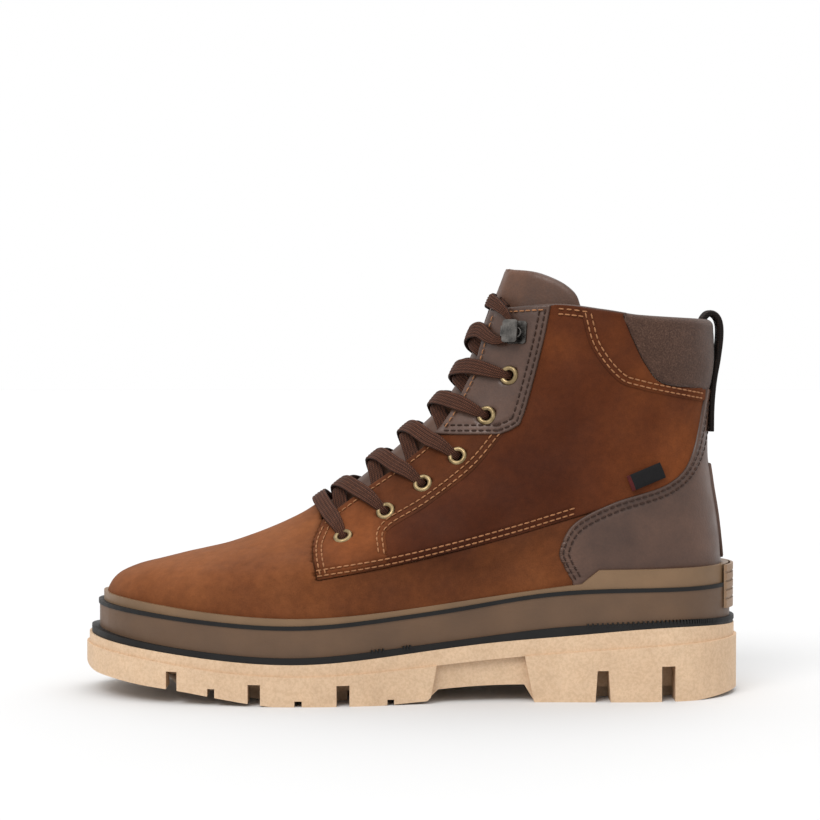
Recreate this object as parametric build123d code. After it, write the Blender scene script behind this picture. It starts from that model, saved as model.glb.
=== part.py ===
from build123d import *
import math
import os

# Insulated lace-up hunting boot for the left foot, in millimetres.
# The toe points along -X and the heel along +X, the outer side of the foot faces -Y,
# and the ground is Z = 0. Side-view points are (x, z) and plan points are (x, y), all drawn
# for the pattern size below and stretched to the sizes that follow it.

PATTERN_LENGTH, PATTERN_WIDTH, PATTERN_HEIGHT = 305.5, 110.5, 197.5

# ---- overall sizes ----
LENGTH = 305.5            # outsole, toe to heel
WIDTH = 110.5             # outsole across the ball of the foot
HEIGHT = 197.5            # ground to the top of the tongue

# ---- layers of the upper, from the nubuck face inward ----
LEATHER = 1.8
STIFFENER = 1.0           # toe puff and heel counter
INSULATION = 2.5
LINING = 2.5
FACING = 1.2              # leather behind the eyelets
OVERLAY = 1.3             # leather sewn on top of the nubuck
BACK_STRIP = 1.2

# ---- under the foot ----
BOARD = 2.5
FOOTBED = 5.0
FOOTBED_COVER = 1.2
FOOTBED_GAP = 1.0
SHANK = (100, 15, 1.6)    # length, width and thickness
SHANK_AT = (20, 29.8, 10.5)   # its middle, and its climb over 100
CUP_WALL = 4.5
BAND_INSET = 1.2
ACCENT = 1.8
TREAD_DEPTH = 5.0

# ---- lacing ----
EYELET_BORE = 4.8
EYELET_TUBE = 0.5
EYELET_RIM = 8.9
EYELET_RISE = 1.0
LACE_WIDTH = 7.5
LACE_THICKNESS = 1.6
AGLET = (2.4, 18)
HOOK_PLATE = (10.0, 10.5, 0.9)
HOOK_GAP = 3.6
RIVET = 3.0

# ---- tongue, loop and label ----
TONGUE_LEATHER = 1.4
TONGUE_LINING = 1.0
LOOP_WIDTH = 16
WEBBING = 2.0
LABEL = (17.2, 7.4, 0.8)

# ---- clearances ----
SEAT = 0.05               # a pressed or riveted fit
RUN = 0.4                 # pieces that move past each other
REACH = 120               # half the width of every cutting prism

KX = LENGTH / PATTERN_LENGTH
KY = WIDTH / PATTERN_WIDTH
KZ = HEIGHT / PATTERN_HEIGHT


def ease(points):
    """A smooth curve through (place, value) pairs that never overshoots them."""
    at, to = zip(*points)
    steps = [b - a for a, b in zip(at, at[1:])]
    slopes = [(b - a) / step for a, b, step in zip(to, to[1:], steps)]
    tangents = [slopes[0]]
    for h0, h1, s0, s1 in zip(steps, steps[1:], slopes, slopes[1:]):
        level = s0 * s1 <= 0
        tangents.append(0 if level else 3 * (h0 + h1) / ((2 * h1 + h0) / s0 + (h1 + 2 * h0) / s1))
    tangents.append(slopes[-1])

    def value(x):
        if x <= at[0]:
            return to[0] + tangents[0] * (x - at[0])
        if x >= at[-1]:
            return to[-1] + tangents[-1] * (x - at[-1])
        i = max(k for k, place in enumerate(at) if place <= x)
        h = steps[i]
        t = (x - at[i]) / h
        return ((1 + 2 * t) * (1 - t) ** 2 * to[i] + t * (1 - t) ** 2 * h * tangents[i]
                + t * t * (3 - 2 * t) * to[i + 1] - t * t * (1 - t) * h * tangents[i + 1])

    return value


# ---- the upper's face, level by level ----
front = ease([(20, -142.2), (40, -142.3), (46.8, -141.8), (50.5, -140), (54.3, -136.2),
              (58, -128.2), (61.7, -113.9), (69.2, -83), (80.5, -54.6), (98.2, -28.6),
              (120.7, -2), (133.3, 11.5), (148.8, 22.3), (166, 29.8), (178, 35), (210, 47)])
back = ease([(20, 143), (45, 145.2), (62, 144.2), (80.5, 142.3), (99, 139.4), (112, 137.9),
             (133, 138.6), (150, 140.6), (170, 141.4), (210, 142)])
foot_width = {
    -1: ease([(0, 46), (.15, 49.5), (.33, 50.8), (.5, 44.8), (.64, 37.4), (.76, 36), (1, 35)]),
    1: ease([(0, 44), (.12, 47), (.26, 48), (.38, 45), (.5, 37.6), (.64, 32.8), (.76, 34), (1, 34)]),
}
shaft_width = ease([(46, 36), (80, 35), (110, 34.6), (140, 36.5), (175, 38), (210, 38.5)])
shaft_share = ease([(46, 0), (62, .04), (85, .4), (115, .92), (130, 1), (210, 1)])
toe_reach = ease([(20, .3), (46, .3), (58, .34), (80, .48), (100, .5), (210, .5)])
toe_power = ease([(20, 2.2), (46, 2.2), (80, 2), (210, 2)])
heel_reach = ease([(20, .16), (60, .18), (100, .3), (140, .48), (170, .5), (210, .5)])
heel_power = ease([(20, 2.4), (60, 2.4), (120, 2.2), (210, 2.1)])
TOE_SKEW, SKEW_END, SKEW_HEIGHT = 6, .35, 60       # the toe tip leans to the inner side
LEVELS = [24, 29, 34, 38, 42, 46, 51, 55, 58.5, 62, 66, 71, 78, 87, 98, 110, 122, 135, 150, 168, 186, 206]
SPOKES = 10                                       # points on each side of a level


def rounded(share, reach, power):
    """Fades a half width to nothing over the last stretch before the toe or the heel."""
    if share >= reach:
        return 1
    return max(0, 1 - (1 - share / reach) ** power) ** (1 / power)


def face_point(turn, z, side):
    """A point of the nubuck face: turn is 0 at the toe and pi at the heel, side -1 is outer."""
    if turn < 0 or turn > math.pi:
        turn = abs(turn) if turn < 0 else 2 * math.pi - turn
        side = -side
    share = (1 - math.cos(turn)) / 2
    blend = shaft_share(z)
    half = (1 - blend) * foot_width[side](share) + blend * shaft_width(z)
    half *= rounded(share, toe_reach(z), toe_power(z))
    half *= rounded(1 - share, heel_reach(z), heel_power(z))
    lean = TOE_SKEW * max(0, 1 - share / SKEW_END) ** 2 * max(0, 1 - max(0, z - 46) / SKEW_HEIGHT)
    x = front(z) + (back(z) - front(z)) * share
    return Vector(x * KX, (lean + side * half) * KY, z * KZ)


def skin_point(turn, z, side, rise):
    """The face's point moved outward by rise, square to the face."""
    point = face_point(turn, z, side)
    if rise == 0:
        return point
    along = face_point(turn + .001, z, side) - face_point(turn - .001, z, side)
    up = face_point(turn, z + .05, side) - face_point(turn, z - .05, side)
    normal = along.cross(up).normalized()
    axis = Vector((front(z) + back(z)) / 2 * KX, 0, z * KZ)
    if normal.dot(point - axis) < 0:
        normal = -normal
    return point + normal * rise


def level_point(turn, z, side, rise):
    """The same, slid up or down the face until it lies at the height of the level z."""
    at = z
    for _ in range(8 if rise else 1):
        point = skin_point(turn, at, side, rise)
        at -= .8 * (point.Z / KZ - z)
    return Vector(point.X, point.Y, z * KZ)


def skin(rise, levels=LEVELS):
    """The solid inside the face moved outward by rise, which may depend on the turn."""
    wires = []
    turns = [math.pi * k / SPOKES for k in range(SPOKES + 1)]
    ring = [(t, -1) for t in reversed(turns)] + [(t, 1) for t in turns[1:-1]]
    for z in levels:
        points = [level_point(t, z, side, rise(t) if callable(rise) else rise) for t, side in ring]
        parameters = [k / len(points) for k in range(len(points) + 1)]
        wires.append(Wire([Edge.make_spline(points, periodic=True, parameters=parameters)]))
    return Solid.make_loft(wires)


# ---- cutting shapes ----
def outline(runs, place):
    """A closed wire of splines and straight stretches through runs of flat points."""
    edges = []
    runs = [[place(*point) for point in run] for run in runs]
    for run, following in zip(runs, runs[1:] + runs[:1]):
        if len(run) == 2:
            edges.append(Edge.make_line(*run))
        if len(run) > 2:
            edges.append(Edge.make_spline(run))
        if (run[-1] - following[0]).length > .001:
            edges.append(Edge.make_line(run[-1], following[0]))
    return Face(Wire(edges))


def prism(*runs, low=-REACH, high=REACH):
    """Everything inside a side-view outline, from y = low to y = high."""
    face = outline(runs, lambda x, z: Vector(x * KX, low, z * KZ))
    return Solid.extrude(face, Vector(0, high - low, 0))


def below(*runs, lift=0):
    """Everything under a line that runs from the toe to the heel, raised by lift."""
    moved = [[(x, z + lift / KZ) for x, z in run] for run in runs]
    return prism([(-200, -40)], [(-200, moved[0][0][1])], *moved, [(200, moved[-1][-1][1])], [(200, -40)])


def set_back(points, distance):
    """A line moved square to itself, to its right-hand side."""
    result = []
    for k, (x, z) in enumerate(points):
        x0, z0 = points[max(k - 1, 0)]
        x1, z1 = points[min(k + 1, len(points) - 1)]
        size = math.hypot(x1 - x0, z1 - z0)
        result.append((x + distance * (z1 - z0) / size, z - distance * (x1 - x0) / size))
    return result


# ---- seams and edges, seen from the side ----
THROAT = [(-40.2, 80.9), (-22.7, 93.8), (9.4, 117.7), (27.8, 145.3), (37, 173.7), (42, 186)]
THROAT_BASE = -41
TAB = [(-41.4, 55.8), (-44, 70.2), (-40.2, 80.9)]
VAMP_SEAM = [(-41.4, 55.8), (-4.3, 62.4), (40.9, 73.3), (84, 85.6)]
EYESTAY_SEAM = [(-8, 62), (-9.9, 71.5), (-8.5, 78), (9.3, 89), (29.6, 104.8), (43, 120.5)]
UPPER_EYESTAY = [(41, 120.5), (47.9, 123.7), (52, 129.6), (60.6, 161.4), (65.5, 186)]
FOXING = [(73.8, 53.9), (69.3, 62), (68, 68.8), (74.7, 80.6), (92.8, 90), (118, 98.4),
          (129.5, 110.9), (135.8, 135.8), (137.2, 141.5)]
COLLAR_SEAM = [(78.6, 175.9), (83.6, 160.5), (94.3, 147.5), (104.8, 143.4), (134.6, 138.2)]
CUFF_SEAM = [(96.7, 174.3), (101.3, 163.6), (107.2, 152.3), (115.8, 143.7), (135.8, 141.5)]
TOPLINE = [(20, 176.5), (43.9, 178.3), (65.3, 179.6), (89.1, 176.8), (104.5, 174.5), (136.7, 172.9)]
TONGUE_TOP = [(45.6, 197.5), (62, 194), (70, 190), (76, 185), (78.5, 179)]
TONGUE_SIDE = [(74, 170), (60, 152), (34, 122), (12, 98), (-12, 80), (-38, 74)]
PUFF_EDGE = [(-98, 30), (-97, 52), (-104, 80)]
COUNTER_EDGE = [(84, 30), (86, 62), (98, 92), (124, 104), (160, 106)]

# ---- layers of the sole, seen from the side ----
TREAD = [(-151.5, 14), (-148, 11.6), (-140, 10), (-122, 7.7), (-104, 5.9), (-83, 2.8), (-61, 0)]
STEP = [(-160, 23), (-130, 20.6), (-90, 15.5), (-49, 13.2), (-10, 15.2), (52, 20.7), (105, 24.6), (160, 27)]
OUTSOLE_TOP = [(-160, 28.1), (-133, 25.2), (-94, 20.9), (-49, 18.6), (-5, 22.2), (41, 27.2),
               (73, 29.9), (105, 32.7), (160, 31.2)]
RAND_TOP = [(-160, 31.8), (-120, 26.5), (-94, 23.7), (-49, 21.5), (-5, 25.2), (41, 30.4),
            (68, 33.6), (97, 35.2), (122, 36), (160, 34.5)]
ACCENT_LINE = [(-160, 42), (-130, 40.2), (-94, 36.9), (-49, 34.8), (-5, 38.6), (22, 42),
               (65, 48.5), (105, 50.3), (160, 51.4)]
RIM_TOP = ([(-160, 47.6), (-130, 45.1), (-94, 41.3), (-49, 38.8), (-5, 42), (41, 48), (78, 53)],
           [(86, 59.4), (160, 60.4)])
BOARD_LINE = [(-160, 35), (-142, 33.4), (-94, 29.5), (-49, 27.4), (-5, 30.4), (41, 36.4), (79, 41), (160, 42.4)]
PLAN = [(-152, 6), (-147, -14), (-132, -34), (-105, -48), (-70, -56), (-35, -56.5), (0, -50),
        (35, -43.6), (70, -42.5), (105, -42.6), (130, -37), (147, -21), (153, 0), (147, 20),
        (132, 35.5), (108, 41), (75, 39.8), (40, 38.8), (5, 43), (-30, 50), (-65, 54),
        (-100, 50), (-130, 40), (-147, 25)]
PLAN_SPOKES = 48


def footprint(side_inset, toe_inset=None, heel_inset=None):
    """The outsole's plan drawn in by an inset that may differ at the toe and the heel."""
    toe_inset = side_inset if toe_inset is None else toe_inset
    heel_inset = side_inset if heel_inset is None else heel_inset
    inset = ease([(-153, toe_inset), (-140, toe_inset), (-95, side_inset), (40, side_inset),
                  (75, heel_inset), (153, heel_inset)])
    edge = Edge.make_spline([Vector(x * KX, y * KY, 0) for x, y in PLAN], periodic=True)
    points = []
    for k in range(PLAN_SPOKES):
        point = edge.position_at(k / PLAN_SPOKES)
        tangent = edge.tangent_at(k / PLAN_SPOKES)
        inward = Vector(-tangent.Y, tangent.X, 0)
        points.append(point + inward * inset(point.X / KX))
    parameters = [k / PLAN_SPOKES for k in range(PLAN_SPOKES + 1)]
    rim = Edge.make_spline(points, periodic=True, parameters=parameters)
    return Solid.extrude(Face(Wire([rim])), Vector(0, 0, 100 * KZ))


PIECES = {}


def keep(name, shape):
    """Files a piece under its name, and prints what it weighs in at."""
    solids = ShapeList(shape.solids()) if hasattr(shape, "solids") else shape
    solids = [s for s in solids if s.volume > .5]
    PIECES[name] = solids[0] if len(solids) == 1 else Compound(solids)
    print(f"{name:24s} {len(solids):3d} solids {sum(s.volume for s in solids) / 1000:9.2f} cm3")
    return PIECES[name]


# ---- the sole, from the ground up ----
NOTCHES = [(-107.2, 5, 14.5, 0), (-89, 3.3, 7.5, 0), (-69.5, 5.6, 9.8, 0), (-49.7, 3.3, 2.6, 0),
           (-29.7, 5.8, 9.4, 0), (-8.4, 3, 2.6, 0), (87.5, 5, 14.2, 1.5), (117.3, 6.2, 16, 0)]
LUG_LENGTH = 15           # how far a lug reaches in from the edge
CHANNEL = 4               # groove between the edge lugs and the middle of the tread
ARCH_FRONT = [(8, -6), (13.5, 24)]
ARCH_BACK = [(51.5, 24), (57.5, -6)]
CHEVRONS = [-118, -98, -78, -58, -38, -18, 74, 94, 114]


TREAD_LINE = [TREAD, [(-12, 0), (8, 1.4)], [(13, 6), (32, 7.2), (52, 7.6)], [(56.5, 0), (131, 0)], [(154, 2.6)]]


def tread_line(lift=0):
    """The curved bottom of the sole, raised by lift."""
    return [[(x, z + lift / KZ) for x, z in run] for run in TREAD_LINE]


def chevron(x):
    """A V-shaped bar across the tread, pointing at the toe."""
    half, sweep, width = 45, 12, CHANNEL / KX
    points = [(x, 0), (x + sweep, half), (x + sweep + width, half), (x + width, 0),
              (x + sweep + width, -half), (x + sweep, -half)]
    face = outline([[p] for p in points], lambda u, v: Vector(u * KX, v * KY, -5))
    return Solid.extrude(face, Vector(0, 0, 40 * KZ))


def make_outsole():
    ground = prism(*tread_line(), [(170, 20)], [(170, 130)], [(-170, 130)], [(-170, 30)])
    edge = footprint(0)
    body = (footprint(BAND_INSET) & ground) & below(OUTSOLE_TOP)
    lugs = (edge & ground) & below(STEP)
    arch = prism(ARCH_FRONT, ARCH_BACK)
    lugs -= arch
    waist = (arch & below(STEP)) - footprint(BAND_INSET + 2.6)
    body = body - waist + lugs
    ring = footprint(-6) - footprint(LUG_LENGTH)
    for x, width, top, taper in NOTCHES:
        sides = [(x - width / 2 - taper, -8), (x - width / 2, top), (x + width / 2, top), (x + width / 2 + taper, -8)]
        body -= prism(*[[p] for p in sides]) & ring
    arch = prism([(-4, -10)], [(-4, 60)], [(68, 60)], [(68, -10)])
    shallow = prism(*tread_line(TREAD_DEPTH), [(170, -30)], [(-170, -30)]) - arch
    body -= (footprint(LUG_LENGTH) - footprint(LUG_LENGTH + CHANNEL)) & shallow
    inner = footprint(LUG_LENGTH + CHANNEL / 2) & shallow
    for x in CHEVRONS:
        body -= chevron(x) & inner
    return body


CORE_PLAN = (9.5, 13, 9)
CUP_PLAN = (3.6, 6, 3.2)
ACCENT_PLAN = (3.2, 5.5, 2.8)
RIM_PLAN = (4.2, 8, 3.8)
RAND_PLAN = (1.8, 2.3, 1.6)


def make_sole(upper):
    """The layers between the outsole and the upper; upper fills the cup above the board line."""
    keep("outsole", make_outsole())
    core_plan = footprint(*CORE_PLAN)
    tread_top, rand_top = below(OUTSOLE_TOP), below(RAND_TOP)
    accent_low, accent_high = below(ACCENT_LINE, lift=-ACCENT / 2), below(ACCENT_LINE, lift=ACCENT / 2)
    core = (core_plan & below(BOARD_LINE)) - tread_top
    filling = (core_plan & below(BOARD_LINE)) + upper
    length, width, thick = SHANK
    x, z, rise = SHANK_AT
    middle = Location((x * KX, 0, z * KZ), (0, -math.degrees(math.atan2(rise * KZ, 100 * KX)), 0))
    shank = (middle * Box(length, width, thick)).solid()
    keep("shank", shank)
    keep("midsole_core", core - shank)
    keep("rand_strip", (footprint(*RAND_PLAN) & rand_top) - tread_top - core_plan)
    keep("midsole_cup", (footprint(*CUP_PLAN) & accent_low) - rand_top - filling)
    keep("accent_line", (footprint(*ACCENT_PLAN) & accent_high) - accent_low - filling)
    rim = (footprint(*RIM_PLAN) & below(*RIM_TOP)) - accent_high - filling
    keep("midsole_rim", rim)
    plate = prism([(140, 40)], [(160, 40)], [(160, 60)], [(140, 60)], low=-19 * KY, high=19 * KY)
    plate = (footprint(1.6) & plate) - footprint(*ACCENT_PLAN)
    for z in (44, 48, 52, 56):
        plate -= (footprint(-3) - footprint(2.2)) & prism([(140, z)], [(160, z)], [(160, z + 1)], [(140, z + 1)])
    keep("heel_bumper", plate)


# ---- the upper ----
def throat(distance=0):
    """The opening in front of the eyestays, its edge set back by a distance."""
    line = set_back(THROAT, distance)
    return prism([(THROAT_BASE, 260)], [(THROAT_BASE, line[0][1])], line, [(line[-1][0], 260)])


def side_of(side):
    low, high = (-REACH, 0) if side < 0 else (0, REACH)
    return prism([(-220, -40)], [(220, -40)], [(220, 260)], [(-220, 260)], low=low, high=high)


def turn_at(x, z):
    """Where on the level z the face has this x."""
    share = (x - front(z)) / (back(z) - front(z))
    return math.acos(1 - 2 * min(max(share, 0), 1))


def seat(x, z, side, rise=0):
    """A plane lying on the face: its Z points outward and its Y runs up the boot."""
    turn = turn_at(x, z)
    origin = skin_point(turn, z, side, rise)
    outward = (skin_point(turn, z, side, 1) - skin_point(turn, z, side, 0)).normalized()
    ahead = Vector(0, 0, 1).cross(outward).normalized()
    return Plane(origin=origin, x_dir=ahead, z_dir=outward)


EYELETS = [(-30.2, 74.6), (-10.9, 85.9), (6, 98.4), (21.8, 110.8), (35.4, 129), (45.7, 147.3)]
HOOK = (49.6, 166.8)
FIRST_ON_OVERLAY = 4
FACING_WIDTH = 22
FACING_TRIM = 2.5         # how far the facing stops short of the throat's edge
SIDES = {"lateral": -1, "medial": 1}


def base_rise(row):
    """The leather's top at an eyelet row, counted from 0 at the toe end."""
    return OVERLAY if row > FIRST_ON_OVERLAY - .6 else 0


def punched(shape, side):
    """Holes through the eyestay for the eyelets and the hook's rivet."""
    for x, z in EYELETS:
        hole = Solid.make_cylinder(EYELET_BORE / 2 + EYELET_TUBE + SEAT, 20, seat(x, z, side, -10))
        shape -= hole
    return shape - Solid.make_cylinder(RIVET / 2 + SEAT, 20, seat(*HOOK, side, -10))


def make_upper():
    """Cuts every panel from nested skins; returns what fills the midsole cup."""
    face, flesh = skin(0), skin(-LEATHER)
    warm, sock = skin(-LEATHER - INSULATION), skin(-LEATHER - INSULATION - LINING)
    raised = skin(OVERLAY)
    floor = below(BOARD_LINE)
    lasting = below(BOARD_LINE, lift=LEATHER)
    board_top = below(BOARD_LINE, lift=LEATHER + BOARD)
    warm_floor = below(BOARD_LINE, lift=LEATHER + BOARD + INSULATION)
    sock_level = LEATHER + BOARD + INSULATION + LINING
    top, top_inside = below(TOPLINE), below(TOPLINE, lift=-LEATHER)

    window = footprint(20) & lasting
    leather = ((face - floor) - (flesh - lasting) - window) & top
    opening = throat()
    leather -= opening
    behind = prism(TAB, [(-40.2, 260)], [(220, 260)], [(220, 104)], VAMP_SEAM[::-1])
    keep("vamp", leather - behind)
    rear = leather & behind
    stay_zone = prism(EYESTAY_SEAM, [(54, 138)], [(61, 260)], [(-60, 260)], [(-60, 30)], [(-8, 30)])
    collar_zone = prism([(66, 260)], [(66, 177.8)], [(76, 176.9)], COLLAR_SEAM, [(170, 131)], [(170, 260)])
    cuff_zone = prism([(95.5, 260)], CUFF_SEAM, [(170, 138)], [(170, 260)])
    facing = ((flesh - skin(-LEATHER - FACING)) & (throat(FACING_WIDTH) - throat(FACING_TRIM))) & top
    overlay = ((raised - face) & top) - opening
    upper_stay = prism([(-10, 119.5)], UPPER_EYESTAY, [(65.5, 260)], [(-10, 260)])
    overlay = overlay & upper_stay
    for name, side in SIDES.items():
        half = side_of(side)
        keep(f"eyestay_lower_{name}", punched((rear & stay_zone) & half, side))
        keep(f"eyestay_upper_{name}", punched(overlay & half, side))
        keep(f"eyelet_facing_{name}", punched(facing & half, side))
        keep(f"quarter_{name}", (rear - stay_zone - collar_zone) & half)
        keep(f"collar_band_{name}", ((rear & collar_zone) - stay_zone - cuff_zone) & half)

    heel_zone = prism([(73.4, 20)], FOXING, [(170, 141.5)], [(170, 20)])
    heel_cap = (raised & heel_zone) - floor
    keep("heel_foxing", heel_cap - face)
    strip_zone = prism([(125, 62.5)], [(125, 106)], [(170, 106)], [(170, 62.5)], low=-9, high=9)
    keep("back_strip", (skin(OVERLAY + BACK_STRIP) - raised) & strip_zone)

    puff_zone = prism(PUFF_EDGE, [(-104, 120)], [(-200, 120)], [(-200, 30)])
    counter_zone = prism(COUNTER_EDGE, [(160, 30)])
    stiff = flesh - skin(-LEATHER - STIFFENER) - board_top
    puff = keep("toe_puff", stiff & puff_zone)
    counter = keep("heel_counter", stiff & counter_zone)
    keep("insole_board", (flesh - lasting) & board_top)
    inner_opening = throat(FACING_WIDTH + RUN)
    padding = ((flesh - board_top) - (warm - warm_floor)) & top_inside
    padding = padding - inner_opening - puff - counter
    keep("insulation", padding - cuff_zone)
    keep("collar_foam", padding & cuff_zone)
    sock_floor = below(BOARD_LINE, lift=sock_level)
    keep("lining", (((warm - warm_floor) - (sock - sock_floor)) & top_inside) - inner_opening)
    cuff = ((face & top) - (flesh & top_inside)) - sock
    keep("collar_cuff", cuff & cuff_zone)

    bed_plan = skin(-LEATHER - INSULATION - LINING - FOOTBED_GAP)
    bed_top = below(BOARD_LINE, lift=sock_level + FOOTBED)
    cover_top = below(BOARD_LINE, lift=sock_level + FOOTBED + FOOTBED_COVER)
    keep("footbed", (bed_plan & bed_top) - below(BOARD_LINE, lift=sock_level + SEAT))
    keep("footbed_cover", (bed_plan & cover_top) - bed_top)
    return (face + heel_cap) - floor


# ---- the tongue ----
tongue_rise = ease([(0, -2.5), (12, -3.4), (22, -5.6), (34, -7.4), (45, -9), (55, -9.6), (180, -9.6)])
tongue_thickness = ease([(0, 6), (30, 5.5), (45, 3.5), (60, 2.6), (180, 2.6)])


def tongue_skin(depth):
    """The tongue's face moved inward by a depth of 0 to 1 through its padding."""
    def rise(turn):
        angle = math.degrees(turn)
        foam = tongue_thickness(angle) - TONGUE_LEATHER - TONGUE_LINING
        padding = {0: 0, 1: TONGUE_LEATHER, 2: TONGUE_LEATHER + foam, 3: tongue_thickness(angle)}
        return tongue_rise(angle) - padding[depth]
    return skin(rise, [z for z in LEVELS if z > 70])


def make_tongue():
    base = THROAT_BASE + RUN / KX
    zone = prism([(base, 74)], [(base, 260)], [(30, 260)], [(40, 199)], TONGUE_TOP, TONGUE_SIDE)
    skins = [tongue_skin(k) for k in range(4)]
    for name, outer, inner in zip(("tongue_leather", "tongue_foam", "tongue_lining"), skins, skins[1:]):
        keep(name, (outer - inner) & zone)


# ---- lacing ----
def nearest_front(x, z):
    """The height of the front edge's point that is nearest to a side-view point."""
    heights = [60 + k / 2 for k in range(280)]
    return min(heights, key=lambda h: math.hypot(front(h) - x, h - z))


ROWS = EYELETS + [HOOK]
row_x = ease([(k, x) for k, (x, z) in enumerate(ROWS)])
row_z = ease([(k, z) for k, (x, z) in enumerate(ROWS)])
crest_z = ease([(k, nearest_front(x, z)) for k, (x, z) in enumerate(ROWS)])


def lace_point(row, share, rise):
    """A point over the throat: share runs from -1 at the lateral eyelet to 1 at the medial one."""
    x, z = row_x(row), row_z(row)
    end = turn_at(x, z)
    turn = abs(share) * end
    height = crest_z(row) - (crest_z(row) - z) * (1 - math.cos(turn)) / (1 - math.cos(end))
    return skin_point(turn, height, -1 if share < 0 else 1, rise)


def over_tongue(row, share):
    """The lace's height where it lies on the tongue."""
    turn = math.degrees(abs(share) * turn_at(row_x(row), row_z(row)))
    return tongue_rise(turn) + RUN + LACE_THICKNESS / 2 + TONGUE_PUFF


def ribbon(stops):
    """A flat lace through stops of (row, share, rise, width)."""
    points = [lace_point(*stop[:3]) for stop in stops]
    normals = [(lace_point(*stop[:2], 4) - lace_point(*stop[:2], 0)).normalized() for stop in stops]
    wires = []
    for k, (point, normal, stop) in enumerate(zip(points, normals, stops)):
        along = points[min(k + 1, len(points) - 1)] - points[max(k - 1, 0)]
        across = normal.cross(along).normalized() * (stop[3] / 2)
        up = along.cross(across).normalized() * (LACE_THICKNESS / 2)
        corners = [point + across + up, point - across + up, point - across - up, point + across - up]
        wires.append(Wire.make_polygon(corners, close=True))
    return Solid.make_loft(wires, ruled=True)


throat_x = ease([(z, x) for x, z in THROAT])


def edge_share(row):
    """The share at which a row of the lacing crosses the throat's edge."""
    for step in range(95, 20, -1):
        point = lace_point(row, step / 100, 0)
        if point.X / KX < throat_x(point.Z / KZ):
            return step / 100
    return .2


INSIDE = -LEATHER - FACING - LACE_THICKNESS / 2 - RUN
LAID = LACE_THICKNESS / 2 + RUN
TONGUE_PUFF = .7          # room for the tongue's padding under the lace
MOUTH = .93               # share at which the lace reaches an eyelet
BUNCHED = 4.4             # width of the lace as it folds into an eyelet
RIM_SHARE = .84           # share at which it passes the eyelet's rim
CLEAR = .16               # how far in front of the throat's edge it lies on the tongue


def strand(row, side, over, landing=None):
    """From inside one eyelet, out under the throat's edge and over to the next on the other side."""
    hump = LACE_THICKNESS + RUN if over else 0
    near, far = edge_share(row + .2), edge_share(row + .8)
    start = [(-MOUTH, 1, BUNCHED), (-RIM_SHARE, .9, 6), (-near, .5, LACE_WIDTH)]
    stops = [(row + (share + 1) / 2, side * share, INSIDE - drop, width) for share, drop, width in start]
    for share in (CLEAR - near, -.18, 0, .18, far - CLEAR):
        at = row + (share + 1) / 2
        lift = hump if abs(share) < .2 else hump / 2
        stops.append((at, side * share, over_tongue(at, share) + lift, LACE_WIDTH))
    if landing is None:
        top = LAID + base_rise(row + 1)
        landing = [(.81, far - .02, top + .5, LACE_WIDTH), (.92, RIM_SHARE, top + EYELET_RISE, 6),
                   (.965, MOUTH, top + EYELET_RISE + .2, BUNCHED)]
    stops += [(row + step, side * share, rise, width) for step, share, rise, width in landing]
    return ribbon(stops)


def round_the_hook():
    """The last stretch: under the hook's head, round its neck and back to the throat."""
    low, top = OVERLAY + HOOK_PLATE[2] + HOOK_GAP / 2, LAID + OVERLAY
    far, back_edge = edge_share(5.8), edge_share(6.45)
    return [(.74, far - .02, top + .5, LACE_WIDTH), (.68, .7, top + .8, 4.6), (.7, .86, low, 3),
            (.82, 1.02, low, 2.6), (1, 1.1, low, 2.6), (1.18, 1.02, low, 2.6), (1.3, .86, low, 3),
            (1.4, .7, top + .8, 4.6), (1.46, back_edge - .02, top + .3, 6.5)]


def tail(side):
    """The lace's end, tucked back under the front edge of the eyestay."""
    edge = edge_share(6.45)
    stops = [(6.47, edge - .07, LAID + OVERLAY - .6, 6.4), (6.5, edge - .17, -1, 6),
             (6.47, edge - .14, INSIDE, 6), (6.4, edge + .12, INSIDE, 5)]
    return ribbon([(row, side * share, rise, width) for row, share, rise, width in stops])


def make_lace():
    pieces = []
    edge = edge_share(0)
    half = [(MOUTH, LAID + EYELET_RISE + .2, BUNCHED), (RIM_SHARE, LAID + EYELET_RISE, 6), (edge, LAID + .3, LACE_WIDTH)]
    half += [(edge / 2, LAID, LACE_WIDTH)]
    bar = [(-share, rise, width) for share, rise, width in half] + [(0, LAID, LACE_WIDTH)] + half[::-1]
    pieces.append(ribbon([(0, *stop) for stop in bar]))
    for side in SIDES.values():
        for row in range(len(EYELETS) - 1):
            pieces.append(strand(row, -side, over=side > 0))
        pieces.append(strand(len(EYELETS) - 1, -side, side > 0, round_the_hook()))
        pieces.append(tail(side))
        for row, (x, z) in enumerate(EYELETS):
            depth = LEATHER + FACING + base_rise(row) + LACE_THICKNESS * 1.5
            low = seat(x, z, side, -LEATHER - FACING - LACE_THICKNESS - RUN)
            pieces.append(Solid.make_cylinder(EYELET_BORE / 2 - .5, depth + EYELET_RISE, low))
    keep("lace", ShapeList(pieces))
    aglets = []
    width, length = AGLET
    for side in SIDES.values():
        start = lace_point(6.39, side * (edge_share(6.45) + .15), INSIDE - .3)
        end = lace_point(6.33, side * 1.02, INSIDE - .3)
        lay = Plane(origin=start, z_dir=end - start)
        aglets.append(Solid.make_cylinder(width / 2, min(length, (end - start).length), lay))
    keep("lace_aglets", ShapeList(aglets))


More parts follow.
